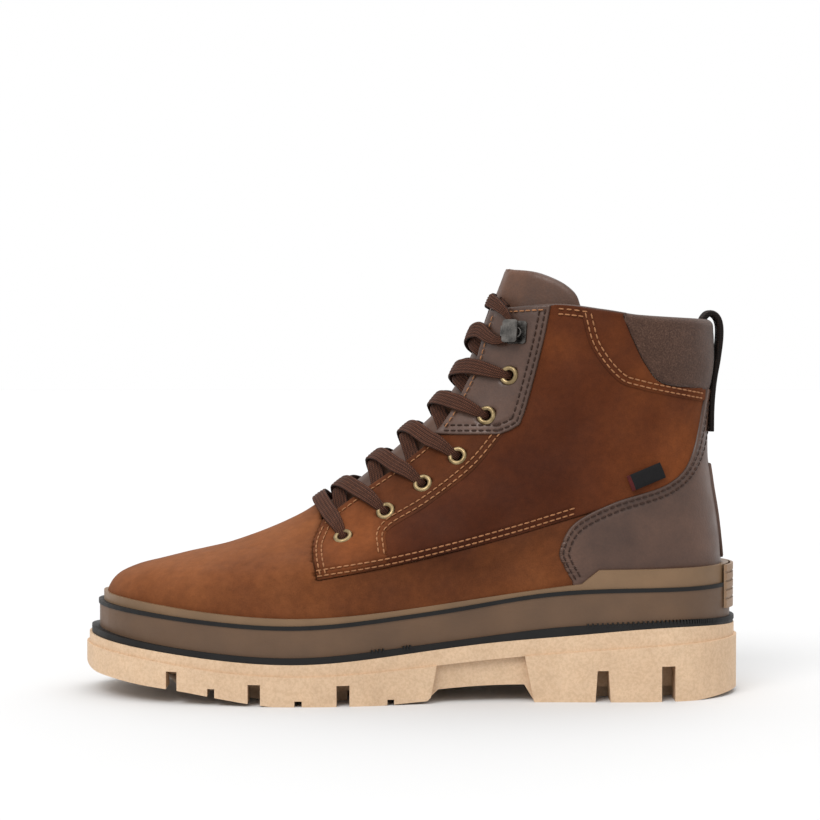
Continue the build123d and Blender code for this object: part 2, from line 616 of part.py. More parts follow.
# ---- metal fittings ----
def eyelet(grip):
    """A rolled brass eyelet whose leather is grip thick, its rim's seat at the origin."""
    bore, tube, rim = EYELET_BORE / 2, EYELET_BORE / 2 + EYELET_TUBE, EYELET_RIM / 2
    foot = -grip - .5
    corners = [(rim, .3), (tube, .3), (tube, foot), (rim - .4, foot), (rim - .6, foot - EYELET_TUBE),
               (bore, foot - EYELET_TUBE), (bore, .55)]
    points = [Vector(r, 0, z) for r, z in corners]
    crown = Vector((bore + rim) / 2 - .3, 0, EYELET_RISE)
    edges = [Edge.make_line(a, b) for a, b in zip(points, points[1:])]
    edges.append(Edge.make_three_point_arc(points[-1], crown, points[0]))
    return Solid.revolve(Face(Wire(edges)), 360, Axis.Z)


def plate(length, width, thick, corner):
    """A flat plate with rounded corners, centred on the origin and standing on it."""
    sketch = RectangleRounded(length, width, corner)
    return extrude(sketch, thick).solid()


def hook():
    """A speed hook: a base plate folded over a neck into a head that is open to the rear."""
    length, width, thick = HOOK_PLATE
    neck = width * .45
    base = plate(length, width, thick, 1.5)
    head = Pos(-1.2, 0, thick + HOOK_GAP) * plate(length - 2.4, width, thick, 1.5)
    radius = HOOK_GAP / 2
    centre = thick + radius
    ring = Solid.make_cylinder(radius + thick, neck, Plane.XZ.offset(-neck / 2))
    ring -= Solid.make_cylinder(radius, neck + 2, Plane.XZ.offset(-neck / 2 - 1))
    ring -= Pos(5, 0, 0) * Box(10, neck + 2, 12)
    bend = Pos(-length / 2 + .8, 0, centre) * ring
    body = base + head + bend
    hole = Cylinder(RIVET / 2 + SEAT, 4)
    return body - hole


def rivet(grip):
    """A domed rivet through the hook's plate and the eyestay, with a washer inside."""
    thick = HOOK_PLATE[2]
    radius = RIVET / 2
    corners = [(0, -grip - 1), (radius + 1.6, -grip - 1), (radius + 1.6, -grip - .3), (radius, -grip - .3),
               (radius, thick), (radius + 1, thick), (radius + .7, thick + .45), (0, thick + .7)]
    face = Face(Wire.make_polygon([Vector(r, 0, z) for r, z in corners], close=True))
    return Solid.revolve(face, 360, Axis.Z)


def make_fittings():
    rivets = []
    for name, side in SIDES.items():
        rings = []
        for row, (x, z) in enumerate(EYELETS):
            top = base_rise(row)
            rings.append(seat(x, z, side, top) * eyelet(top + LEATHER + FACING))
        keep(f"eyelets_{name}", ShapeList(rings))
        place = seat(*HOOK, side, OVERLAY + SEAT)
        if side > 0:
            place = place * Rotation(0, 0, 180)
        keep(f"lace_hook_{name}", place * hook())
        rivets.append(place * rivet(OVERLAY + LEATHER + FACING))
    keep("hook_rivets", ShapeList(rivets))


# ---- pull loop and side label ----
LOOP_PATH = [(131.8, 152), (131.4, 172), (135.6, 178.2), (142.8, 177.6), (147, 168), (145.4, 154), (142.4, 142),
             (141.3, 131), (140.9, 121)]


def make_loop():
    """A strap over the back of the collar, sewn down inside it and on the heel piece."""
    half = WEBBING / 2
    left, right = set_back(LOOP_PATH, -half), set_back(LOOP_PATH, half)
    keep("pull_loop", prism(left, right[::-1], low=-LOOP_WIDTH / 2, high=LOOP_WIDTH / 2))


LABEL_AT, LABEL_TILT = (107.2, 101.4), 21


def make_label():
    """A woven flag sewn into the top edge of the heel piece."""
    width, height, thick = LABEL
    flag = Rotation(0, 0, LABEL_TILT) * plate(width, height, thick, .4)
    keep("side_label", seat(*LABEL_AT, -1, .9) * flag)


def main():
    os.makedirs("parts", exist_ok=True)
    make_sole(make_upper())
    make_tongue()
    make_lace()
    make_fittings()
    make_loop()
    make_label()
    middle = PIECES["outsole"].bounding_box().center()
    for name, shape in PIECES.items():
        export_step(Pos(-middle.X, -middle.Y, 0) * shape, f"parts/{name}.step")


main()
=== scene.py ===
import bpy
import math
import numpy as np
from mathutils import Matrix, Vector, kdtree, noise
from mathutils.geometry import delaunay_2d_cdt


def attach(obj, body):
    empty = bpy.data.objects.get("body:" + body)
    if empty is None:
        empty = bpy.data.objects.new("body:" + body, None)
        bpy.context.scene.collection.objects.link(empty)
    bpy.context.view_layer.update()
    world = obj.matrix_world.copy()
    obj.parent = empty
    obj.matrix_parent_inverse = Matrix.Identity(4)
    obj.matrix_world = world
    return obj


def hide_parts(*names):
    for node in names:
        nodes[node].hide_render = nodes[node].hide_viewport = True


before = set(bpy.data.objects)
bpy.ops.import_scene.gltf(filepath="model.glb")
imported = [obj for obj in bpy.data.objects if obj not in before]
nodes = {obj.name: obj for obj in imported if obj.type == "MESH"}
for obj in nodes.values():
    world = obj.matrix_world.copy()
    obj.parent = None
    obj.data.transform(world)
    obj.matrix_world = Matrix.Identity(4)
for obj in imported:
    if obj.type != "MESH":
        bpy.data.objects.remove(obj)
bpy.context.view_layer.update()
MM = .001
SHIFT = np.array([-.467, 1.627, 0])       # from the part's drawing to the frame, mm
SIDES = {"lateral": -1, "medial": 1}


# ---------------------------------------------------------------- the upper's face
def ease(points):
    """A curve through (at, to) points that doesn't overshoot, straight beyond its ends."""
    at, to = (np.array(column, float) for column in zip(*points))
    steps = np.diff(at)
    slopes = np.diff(to) / steps
    h0, h1, s0, s1 = steps[:-1], steps[1:], slopes[:-1], slopes[1:]
    level = s0 * s1 <= 0
    s0, s1 = np.where(level, 1, s0), np.where(level, 1, s1)
    inner = np.where(level, 0, 3 * (h0 + h1) / ((2 * h1 + h0) / s0 + (h1 + 2 * h0) / s1))
    tangents = np.concatenate(([slopes[0]], inner, [slopes[-1]]))

    def value(x):
        x = np.asarray(x, float)
        i = np.clip(np.searchsorted(at, x, side="right") - 1, 0, len(steps) - 1)
        h = steps[i]
        t = (x - at[i]) / h
        curve = ((1 + 2 * t) * (1 - t) ** 2 * to[i] + t * (1 - t) ** 2 * h * tangents[i]
                 + t * t * (3 - 2 * t) * to[i + 1] - t * t * (1 - t) * h * tangents[i + 1])
        curve = np.where(x <= at[0], to[0] + tangents[0] * (x - at[0]), curve)
        return np.where(x >= at[-1], to[-1] + tangents[-1] * (x - at[-1]), curve)

    return value


front = ease([(20, -142.2), (40, -142.3), (46.8, -141.8), (50.5, -140), (54.3, -136.2),
              (58, -128.2), (61.7, -113.9), (69.2, -83), (80.5, -54.6), (98.2, -28.6),
              (120.7, -2), (133.3, 11.5), (148.8, 22.3), (166, 29.8), (178, 35), (210, 47)])
back = ease([(20, 143), (45, 145.2), (62, 144.2), (80.5, 142.3), (99, 139.4), (112, 137.9),
             (133, 138.6), (150, 140.6), (170, 141.4), (210, 142)])
foot_outer = ease([(0, 46), (.15, 49.5), (.33, 50.8), (.5, 44.8), (.64, 37.4), (.76, 36), (1, 35)])
foot_inner = ease([(0, 44), (.12, 47), (.26, 48), (.38, 45), (.5, 37.6), (.64, 32.8), (.76, 34), (1, 34)])
shaft_width = ease([(46, 36), (80, 35), (110, 34.6), (140, 36.5), (175, 38), (210, 38.5)])
shaft_share = ease([(46, 0), (62, .04), (85, .4), (115, .92), (130, 1), (210, 1)])
toe_reach = ease([(20, .3), (46, .3), (58, .34), (80, .48), (100, .5), (210, .5)])
toe_power = ease([(20, 2.2), (46, 2.2), (80, 2), (210, 2)])
heel_reach = ease([(20, .16), (60, .18), (100, .3), (140, .48), (170, .5), (210, .5)])
heel_power = ease([(20, 2.4), (60, 2.4), (120, 2.2), (210, 2.1)])


def rounded(share, reach, power):
    """Share of the half width near a tip: 0 at the tip and 1 from the reach on."""
    inside = np.clip(1 - (1 - np.minimum(share / reach, 1)) ** power, 0, 1)
    return inside ** (1 / power)


def face(v, z):
    """Points of the nubuck face in mm. v is the turn from the toe, negative on the outer side."""
    v, z = np.broadcast_arrays(np.asarray(v, float), np.asarray(z, float))
    turn, side = np.abs(v), np.where(v < 0, -1., 1.)
    over = turn > math.pi
    turn, side = np.where(over, 2 * math.pi - turn, turn), np.where(over, -side, side)
    share = (1 - np.cos(turn)) / 2
    blend = shaft_share(z)
    foot = np.where(side < 0, foot_outer(share), foot_inner(share))
    half = (1 - blend) * foot + blend * shaft_width(z)
    half = half * rounded(share, toe_reach(z), toe_power(z))
    half = half * rounded(1 - share, heel_reach(z), heel_power(z))
    lean = 6 * np.maximum(0, 1 - share / .35) ** 2 * np.maximum(0, 1 - np.maximum(0, z - 46) / 60)
    return np.stack([front(z) + (back(z) - front(z)) * share, lean + side * half, z], -1)


def outward(v, z):
    """The face's normal, away from the boot's middle."""
    along = face(v + .004, z) - face(v - .004, z)
    up = face(v, z + .1) - face(v, z - .1)
    normal = np.cross(along, up)
    normal /= np.maximum(np.linalg.norm(normal, axis=-1, keepdims=True), 1e-9)
    middle = np.stack([(front(z) + back(z)) / 2, np.zeros_like(z), z], -1)
    flip = np.sum(normal * (face(v, z) - middle), -1, keepdims=True) < 0
    return np.where(flip, -normal, normal)


def skin(v, z, rise):
    """The face moved outward by rise, in metres and in the frame."""
    v, z, rise = np.broadcast_arrays(*(np.asarray(a, float) for a in (v, z, rise)))
    return (face(v, z) + outward(v, z) * rise[..., None] + SHIFT) * MM


def turn_at(x, z):
    """The turn from the toe at which the face passes the side-view point."""
    share = (x - front(z)) / (back(z) - front(z))
    return np.arccos(1 - 2 * np.clip(share, 0, 1))


# ---------------------------------------------------------------- lines on the face
def through(points, steps_between):
    """A curve through rows of numbers; steps_between(b, c) says how finely each stretch is cut."""
    points = np.asarray(points, float)
    padded = np.concatenate([[2 * points[0] - points[1]], points, [2 * points[-1] - points[-2]]])
    result = []
    for a, b, c, d in zip(padded, padded[1:], padded[2:], padded[3:]):
        count = steps_between(b, c)
        for k in range(count):
            t = k / count
            result.append(.5 * (2 * b + (c - a) * t + (2 * a - 5 * b + 4 * c - d) * t * t
                                + (3 * b - a - 3 * c + d) * t ** 3))
    result.append(points[-1])
    return np.array(result)


def smooth(points, step=1.):
    """A curve through the points, in steps of about that many mm."""
    return through(points, lambda b, c: max(1, int(np.linalg.norm(c - b) / step + .5)))


def straight(points, step=1.):
    result = []
    for a, b in zip(points, points[1:]):
        a, b = np.array(a, float), np.array(b, float)
        count = max(1, int(np.linalg.norm(b - a) / step + .5))
        result += [a + (b - a) * k / count for k in range(count)]
    return np.array(result + [np.array(points[-1], float)])


def set_back(line, distance):
    """The line moved to its right-hand side."""
    d = np.gradient(line, axis=0)
    d /= np.maximum(np.linalg.norm(d, axis=1, keepdims=True), 1e-9)
    return line + np.broadcast_to(distance, len(line))[:, None] * np.stack([d[:, 1], -d[:, 0]], 1)


def on_side(line, side):
    """Side-view points (x, z) to (v, z)."""
    return np.stack([side * turn_at(line[:, 0], line[:, 1]), line[:, 1]], 1)


def round_heel(line):
    """The same, counted so that it goes on past the heel to the other side."""
    return np.stack([-turn_at(line[:, 0], line[:, 1]), line[:, 1]], 1)


def mirror_heel(line_vz):
    return np.stack([-2 * math.pi - line_vz[:, 0], line_vz[:, 1]], 1)[::-1]


THROAT = smooth([(-40.2, 80.9), (-22.7, 93.8), (9.4, 117.7), (27.8, 145.3), (37, 173.7), (42, 186)])
TAB = smooth([(-41.4, 55.8), (-44, 70.2), (-40.2, 80.9)])
VAMP_SEAM = smooth([(-41.4, 55.8), (-4.3, 62.4), (40.9, 73.3), (84, 85.6)])
EYESTAY_SEAM = smooth([(-8, 62), (-9.9, 71.5), (-8.5, 78), (9.3, 89), (29.6, 104.8), (43, 120.5)])
UPPER_EYESTAY = smooth([(41, 120.5), (47.9, 123.7), (52, 129.6), (60.6, 161.4), (65.5, 186)])
FOXING = smooth([(73.8, 53.9), (69.3, 62), (68, 68.8), (74.7, 80.6), (92.8, 90), (118, 98.4),
                 (129.5, 110.9), (135.8, 135.8), (137.2, 141.5)])
COLLAR_SEAM = smooth([(78.6, 175.9), (83.6, 160.5), (94.3, 147.5), (104.8, 143.4), (134.6, 138.2)])
CUFF_SEAM = smooth([(96.7, 174.3), (101.3, 163.6), (107.2, 152.3), (115.8, 143.7), (135.8, 141.5)])
topline = ease([(20, 176.5), (43.9, 178.3), (65.3, 179.6), (89.1, 176.8), (104.5, 174.5),
                (136.7, 172.9), (150, 172.5)])
rim_top = ease([(-160, 47.6), (-130, 45.1), (-94, 41.3), (-49, 38.8), (-5, 42), (41, 48),
                (78, 53), (86, 59.4), (160, 60.4)])
rand_top = ease([(-160, 31.8), (-120, 26.5), (-94, 23.7), (-49, 21.5), (-5, 25.2), (41, 30.4),
                 (68, 33.6), (97, 35.2), (122, 36), (160, 34.5)])
EYELETS = [(-30.2, 74.6), (-10.9, 85.9), (6, 98.4), (21.8, 110.8), (35.4, 129), (45.7, 147.3)]
HOOK = (49.6, 166.8)


def arc_length(z_low, z_high):
    """Maps heights to the distance along the boot's front line, so that a grid there is even."""
    z = np.linspace(z_low, z_high, 1200)
    path = np.concatenate(([0], np.cumsum(np.hypot(np.diff(front(z)), np.diff(z)))))
    return lambda value: np.interp(value, z, path), lambda length: np.interp(length, path, z)


def inside(points, loop):
    """Which of the points lie inside the closed loop."""
    x, y = points[:, 0][:, None], points[:, 1][:, None]
    x0, y0 = loop[:, 0][None], loop[:, 1][None]
    x1, y1 = np.roll(x0, -1), np.roll(y0, -1)
    hit = ((y0 > y) != (y1 > y)) & (x < (x1 - x0) * (y - y0) / np.where(y1 == y0, 1e-12, y1 - y0) + x0)
    return hit.sum(1) % 2 == 1


def nearest(points, cloud):
    """Distance from each point to the nearest of the cloud."""
    tree = kdtree.KDTree(len(cloud))
    for k, point in enumerate(cloud):
        tree.insert(point, k)
    tree.balance()
    return np.array([tree.find(p)[2] for p in points])


def to_mesh(name, verts, faces, material, smooth_shading=True, **attributes):
    mesh = bpy.data.meshes.new(name)
    mesh.from_pydata([tuple(v) for v in verts], [], [tuple(f) for f in faces])
    mesh.validate()
    for key, values in attributes.items():
        mesh.attributes.new(key, "FLOAT", "POINT").data.foreach_set("value", np.asarray(values, np.float32))
    mesh.materials.append(material)
    if smooth_shading:
        mesh.shade_smooth()
    obj = bpy.data.objects.new(name, mesh)
    bpy.context.scene.collection.objects.link(obj)
    return obj


STITCH_LINES = []      # for each row of stitches, its points on the face in metres
VALLEY_HALF, VALLEY_DEEP = 1.25, .38      # of the valley that a row presses into the leather, mm

# (x, z, radius, lighter or darker) of the rubbed and oiled places, seen from the side
RUBBED = [(-100, 62, 34, .5), (-60, 68, 26, .35), (-75, 50, 26, -.25), (-20, 76, 12, .8),
          (-30, 64, 14, .35), (8, 96, 8, .5), (14, 84, 14, -.5), (30, 108, 10, -.5),
          (68, 160, 10, .7), (128, 118, 14, 1.), (122, 100, 10, .6), (100, 124, 18, .25),
          (60, 118, 24, -.7), (20, 76, 20, -.7), (52, 92, 22, -.5), (88, 160, 12, .2),
          (108, 146, 10, .7), (10, 52, 40, -.3), (56, 62, 20, .2), (90, 100, 14, -.2), (92, 166, 8, .3)]


def burnish(points):
    """From 0, dark, to 1, light: where the nubuck is rubbed."""
    x, z = points[:, 0], points[:, 2]
    value = np.full(len(x), .5)
    for at_x, at_z, radius, amount in RUBBED:
        value += .5 * amount * np.exp(-((x - at_x) ** 2 + (z - at_z) ** 2) / radius ** 2)
    return np.clip(value, 0, 1)


def rumple(point, size, amount, seed):
    """Smooth unevenness of the given size in mm."""
    return amount * noise.noise(Vector(point) / (size * MM) + Vector((seed, seed * 2.3, -seed)))


def on_topline(start, end, below=0.):
    """Side-view points along the top edge, one for each mm."""
    return np.array([(x, float(topline(x)) - below) for x in np.arange(start, end, 1.)])


def hole_rings(holes, length, scale):
    """The rims of round holes, each (v, z, radius in mm), in the flat plan."""
    turns = np.arange(20) / 20 * 2 * math.pi
    rings = []
    for v, z, radius in holes:
        middle = np.array([v * scale, float(length(z))])
        up = np.linalg.norm(face(v, z + .5) - face(v, z - .5)) / float(length(z + .5) - length(z - .5))
        along = np.linalg.norm(face(v + .01, z) - face(v - .01, z)) / (.02 * scale)
        rings.append(middle + np.stack([np.cos(turns) * radius / along, np.sin(turns) * radius / up], 1))
    return rings


def triangulate(flat, hole_loops, spacing):
    """An even net inside the flat outline and outside its holes, closer where the edge rolls over."""
    grown = np.roll(flat, -1, 0) - np.roll(flat, 1, 0)
    grown /= np.maximum(np.linalg.norm(grown, axis=1, keepdims=True), 1e-9)
    area = np.sum(flat[:, 0] * np.roll(flat[:, 1], -1) - np.roll(flat[:, 0], -1) * flat[:, 1])
    inward = np.stack([-grown[:, 1], grown[:, 0]], 1) * (1 if area > 0 else -1)
    edges = [(k, (k + 1) % len(flat)) for k in range(len(flat))]
    start = len(flat)
    for ring in hole_loops:
        edges += [(start + k, start + (k + 1) % len(ring)) for k in range(len(ring))]
        start += len(ring)
    fixed = np.concatenate([flat, *hole_loops])
    extra = []
    for distance in (.35, .9):
        ring = flat + inward * distance
        ring = ring[inside(ring, flat)]
        near = nearest([(*p, 0) for p in ring], [(*p, 0) for p in flat])
        extra.append(ring[near > distance * .75])
    low, high = flat.min(0), flat.max(0)
    rows = np.arange(low[1], high[1], spacing * .87)
    columns = np.arange(low[0], high[0], spacing)
    grid = np.array([(x + (spacing / 2 if k % 2 else 0), y)
                     for k, y in enumerate(rows) for x in columns])
    grid = grid[inside(grid, flat)]
    for ring in hole_loops:
        grid = grid[~inside(grid, (ring - ring.mean(0)) * 1.15 + ring.mean(0))]
    near = nearest([(*p, 0) for p in grid], [(*p, 0) for p in fixed])
    extra.append(grid[near > 1.3])
    out = delaunay_2d_cdt([Vector(p) for p in np.concatenate([fixed, *extra])], edges, [], 0, 1e-5)
    points = np.array([tuple(p) for p in out[0]])
    triangles = np.array(out[2])
    centres = points[triangles].mean(1)
    good = inside(centres, flat)
    for ring in hole_loops:
        good &= ~inside(centres, ring)
    triangles = triangles[good]
    used = np.unique(triangles)
    remap = -np.ones(len(points), int)
    remap[used] = np.arange(len(used))
    return points[used], remap[triangles]


def panel(name, loop, material, rise, thick, spacing=1.6, holes=(), grooves=True, roll=.9,
          wave=.25, seed=1, hidden=None, scale=80., padded=False):
    """A closed sheet of leather over the face, inside the loop of (v, z) points.
    rise is its top and thick its thickness in mm, roll the width of its rounded edge and scale the
    plan's mm for one radian of v. hidden says which loop points are not a cut edge."""
    length, height = arc_length(loop[:, 1].min() - 2, loop[:, 1].max() + 2)
    flat = np.stack([loop[:, 0] * scale, length(loop[:, 1])], 1)
    apart = np.linalg.norm(flat - np.roll(flat, 1, 0), axis=1) > .15
    flat, loop = flat[apart], loop[apart]
    hole_loops = hole_rings(holes, length, scale)
    points, triangles = triangulate(flat, hole_loops, spacing)
    v, z = points[:, 0] / scale, height(points[:, 1])
    base = skin(v, z, 0)
    cut_edge = loop if hidden is None else loop[~hidden(loop)]
    border = list(skin(cut_edge[:, 0], cut_edge[:, 1], 0))
    for ring in hole_loops:
        border += list(skin(ring[:, 0] / scale, height(ring[:, 1]), 0))
    d = nearest(base, border) / MM
    edge = np.sqrt(np.clip(1 - (1 - np.clip(d / roll, 0, 1)) ** 2, 0, 1))
    rise, thick = (f(v, z) if callable(f) else np.full(len(v), float(f)) for f in (rise, thick))
    top = rise - thick + thick * (.4 + .6 * edge)
    for line in STITCH_LINES if grooves else ():
        gap = nearest(base, line) / MM
        top -= VALLEY_DEEP * np.clip(1 - (gap / VALLEY_HALF) ** 2, 0, 1)
    fade = np.clip(d / 8, 0, 1)
    top += fade * np.array([rumple(p, 26, wave, seed) + rumple(p, 9, wave * .35, seed + 3) for p in base])
    bottom = rise - thick + (.3 * thick * (1 - edge) if padded else 0)
    return shell(name, skin(v, z, top), skin(v, z, bottom), triangles, material,
                 edge=np.tile(np.clip(d / 7, 0, 1), 2), burnish=np.tile(burnish(base / MM - SHIFT), 2))


def shell(name, upper, lower, triangles, material, **attributes):
    """Closes two matching surfaces along their rims."""
    n = len(upper)
    a, b, c = (upper[triangles[:, k]] for k in range(3))
    normals = np.cross(b - a, c - a)
    if np.sum(normals * (upper[triangles[:, 0]] - lower[triangles[:, 0]])) < 0:
        triangles = triangles[:, ::-1]
    sides = {}
    for t in triangles:
        for i, j in ((t[0], t[1]), (t[1], t[2]), (t[2], t[0])):
            sides[(i, j)] = True
    faces = [tuple(t) for t in triangles] + [tuple(t[::-1] + n) for t in triangles]
    faces += [(j, i, i + n, j + n) for i, j in sides if (j, i) not in sides]
    return to_mesh(name, np.concatenate([upper, lower]), faces, material, **attributes)


# ---------------------------------------------------------------- materials
def new_material(name, rough, **inputs):
    """A material and its shader; inputs are the shader's own sockets, with _ for a space."""
    material = bpy.data.materials.new(name)
    material.use_nodes = True
    tree = material.node_tree
    shader = tree.nodes["Principled BSDF"]
    shader.inputs["Roughness"].default_value = rough
    for key, value in inputs.items():
        shader.inputs[key.replace("_", " ")].default_value = value
    return material, tree, shader


def add(tree, kind, **settings):
    """A node with its settings, which are properties or sockets."""
    node = tree.nodes.new(kind)
    for key, value in settings.items():
        if hasattr(node, key):
            setattr(node, key, value)
        else:
            node.inputs[key.replace("_", " ")].default_value = value
    return node


def hexa(r, g, b):
    """An sRGB colour of 0 to 255 as the shader wants it."""
    return tuple(((c / 255 + .055) / 1.055) ** 2.4 if c > 10 else c / 255 / 12.92 for c in (r, g, b)) + (1,)


def coordinates(tree):
    return add(tree, "ShaderNodeTexCoord").outputs["Object"]


def noise_node(tree, scale, detail=3., rough=.55):
    node = add(tree, "ShaderNodeTexNoise", Scale=scale, Detail=detail, Roughness=rough)
    tree.links.new(coordinates(tree), node.inputs["Vector"])
    return node.outputs["Fac"]


def ramp(tree, source, stops):
    """The source mapped to colours or greys at the stops."""
    node = tree.nodes.new("ShaderNodeValToRGB")
    elements = node.color_ramp.elements
    while len(elements) < len(stops):
        elements.new(.5)
    for element, (at, colour) in zip(elements, stops):
        element.position = at
        element.color = colour if isinstance(colour, tuple) else (colour, colour, colour, 1)
    tree.links.new(source, node.inputs["Fac"])
    return node.outputs["Color"]


def mix(tree, kind, factor, a, b):
    node = tree.nodes.new("ShaderNodeMix")
    node.data_type = "RGBA"
    node.blend_type = kind
    for value, socket in ((factor, node.inputs[0]), (a, node.inputs[6]), (b, node.inputs[7])):
        if isinstance(value, bpy.types.NodeSocket):
            tree.links.new(value, socket)
        else:
            socket.default_value = value
    return node.outputs[2]


def attribute(tree, name):
    node = tree.nodes.new("ShaderNodeAttribute")
    node.attribute_name = name
    return node.outputs["Fac"]


def bump(tree, shader, source, distance, strength):
    """Relief of that depth in mm, on top of the relief already there."""
    previous = shader.inputs["Normal"].links[0].from_socket if shader.inputs["Normal"].links else None
    node = add(tree, "ShaderNodeBump")
    node.inputs["Strength"].default_value = strength
    node.inputs["Distance"].default_value = distance * MM
    tree.links.new(source, node.inputs["Height"])
    if previous:
        tree.links.new(previous, node.inputs["Normal"])
    tree.links.new(node.outputs["Normal"], shader.inputs["Normal"])


def mottled(tree, colour, share, scale, detail, rough, *stops):
    """The colour darkened and lightened unevenly, through the stops of a noise."""
    return mix(tree, "MULTIPLY", share, colour, ramp(tree, noise_node(tree, scale, detail, rough), stops))


def uneven_gloss(tree, shader, scale, low, high):
    source = ramp(tree, noise_node(tree, scale, 4.), [(.3, low), (.7, high)])
    tree.links.new(source, shader.inputs["Roughness"])


def nubuck(name, dark, middle, light, patch, sheen):
    """Brushed leather: clouds, rubbed places, brush strokes and darker cut edges."""
    material, tree, shader = new_material(name, .86, Sheen_Weight=sheen, Sheen_Roughness=.45)
    shader.inputs["Sheen Tint"].default_value = hexa(222, 160, 110)
    shader.inputs["Specular IOR Level"].default_value = .15
    cloudy = ramp(tree, noise_node(tree, patch, 5., .62), [(.3, .0), (.7, 1.)])
    cloudy = mix(tree, "MIX", .62, cloudy, attribute(tree, "burnish"))
    colour = ramp(tree, cloudy, [(.2, dark), (.5, middle), (.8, light)])
    colour = mottled(tree, colour, .8, 260., 4., .7, (.3, .8), (.7, 1.12))
    colour = mottled(tree, colour, .6, 2400., 2., .6, (.3, .8), (.72, 1.18))
    worn = ramp(tree, attribute(tree, "edge"), [(0., .72), (.14, .92), (.4, 1.)])
    colour = mix(tree, "MULTIPLY", 1., colour, worn)
    tree.links.new(colour, shader.inputs["Base Color"])
    uneven_gloss(tree, shader, 60., .78, .94)
    bump(tree, shader, noise_node(tree, 1500., 3., .65), .12, .55)
    bump(tree, shader, noise_node(tree, 180., 4., .6), .35, .3)
    return material


def smooth_leather(name, dark, middle, light, rough=.42):
    """Waxed leather: soft clouds, pores and darker cut edges."""
    material, tree, shader = new_material(name, rough)
    shader.inputs["Specular IOR Level"].default_value = .45
    shader.inputs["Coat Weight"].default_value = .05
    shader.inputs["Coat Roughness"].default_value = .35
    colour = ramp(tree, noise_node(tree, 26., 5., .6), [(.32, dark), (.52, middle), (.72, light)])
    colour = mottled(tree, colour, .7, 900., 3., .6, (.3, .84), (.66, 1.08))
    worn = ramp(tree, attribute(tree, "edge"), [(0., .6), (.1, .9), (.3, 1.)])
    colour = mix(tree, "MULTIPLY", 1., colour, worn)
    tree.links.new(colour, shader.inputs["Base Color"])
    uneven_gloss(tree, shader, 90., rough - .06, rough + .12)
    cells = add(tree, "ShaderNodeTexVoronoi", Scale=900.)
    tree.links.new(coordinates(tree), cells.inputs["Vector"])
    bump(tree, shader, cells.outputs["Distance"], .1, .4)
    bump(tree, shader, noise_node(tree, 220., 4., .6), .3, .25)
    return material


def rubber(name, dark, light, rough=.5, speck=None, shine=.4):
    """Rubber, foam or board; speck is the tint of its dark grains."""
    material, tree, shader = new_material(name, rough)
    shader.inputs["Specular IOR Level"].default_value = shine
    colour = ramp(tree, noise_node(tree, 40., 4.), [(.3, dark), (.7, light)])
    if speck:
        colour = mottled(tree, colour, .75, 750., 3., .75, (.42, speck), (.56, 1.))
        colour = mottled(tree, colour, .8, 150., 4., .7, (.3, .9), (.7, 1.04))
    tree.links.new(colour, shader.inputs["Base Color"])
    uneven_gloss(tree, shader, 120., rough - .08, rough + .12)
    bump(tree, shader, noise_node(tree, 1200., 3., .6), .08, .4)
    return material


def woven(name, dark, light, scale, rough, sheen, turn, depth, painted_groove_shade=False):
    """A weave of two crossing thread waves, turned in space; the last argument paints shade into the grooves
    between a strap's ribs.
    """
    material, tree, shader = new_material(name, rough, Sheen_Weight=sheen, Sheen_Roughness=.4)
    shader.inputs["Sheen Tint"].default_value = light
    shader.inputs["Specular IOR Level"].default_value = .2
    place = add(tree, "ShaderNodeMapping")
    place.inputs["Rotation"].default_value = turn
    tree.links.new(coordinates(tree), place.inputs["Vector"])
    waves = []
    for direction in ("X", "Z"):
        node = add(tree, "ShaderNodeTexWave", Scale=scale, Distortion=.6, Detail=1.)
        node.bands_direction = direction
        node.inputs["Detail Scale"].default_value = 3.
        tree.links.new(place.outputs["Vector"], node.inputs["Vector"])
        waves.append(node.outputs["Fac"])
    cloth = mix(tree, "MULTIPLY", 1., waves[0], waves[1])
    colour = ramp(tree, cloth, [(.0, dark), (.7, light)])
    colour = mottled(tree, colour, .8, 420., 4., .7, (.3, .72), (.7, 1.2))
    # painted shade: the colour is darkened in the grooves between the ribs
    if painted_groove_shade:
        lines = ramp(tree, attribute(tree, "groove"), [(0., .38), (.4, .9), (1., 1.1)])
        colour = mix(tree, "MULTIPLY", 1., colour, lines)
    tree.links.new(colour, shader.inputs["Base Color"])
    bump(tree, shader, cloth, depth, .8)
    bump(tree, shader, noise_node(tree, 1400., 3., .7), .1, .5)
    return material


def felt(name, dark, middle, light, scale, sheen=.5, depth=.5):
    """Wool or fleece: heathered fibres."""
    material, tree, shader = new_material(name, .95, Sheen_Weight=sheen, Sheen_Roughness=.5)
    shader.inputs["Specular IOR Level"].default_value = .2
    colour = ramp(tree, noise_node(tree, scale, 4., .8), [(.3, dark), (.5, middle), (.68, light)])
    colour = mottled(tree, colour, .8, 110., 4., .7, (.3, .82), (.7, 1.12))
    tree.links.new(colour, shader.inputs["Base Color"])
    bump(tree, shader, noise_node(tree, scale * 1.6, 4., .8), depth, .7)
    return material


def metal(name, dark, light, rough):
    material, tree, shader = new_material(name, rough, Metallic=1.)
    colour = ramp(tree, noise_node(tree, 260., 4., .65), [(.35, dark), (.65, light)])
    tree.links.new(colour, shader.inputs["Base Color"])
    uneven_gloss(tree, shader, 500., rough - .1, rough + .16)
    bump(tree, shader, noise_node(tree, 900., 3.), .04, .3)
    return material


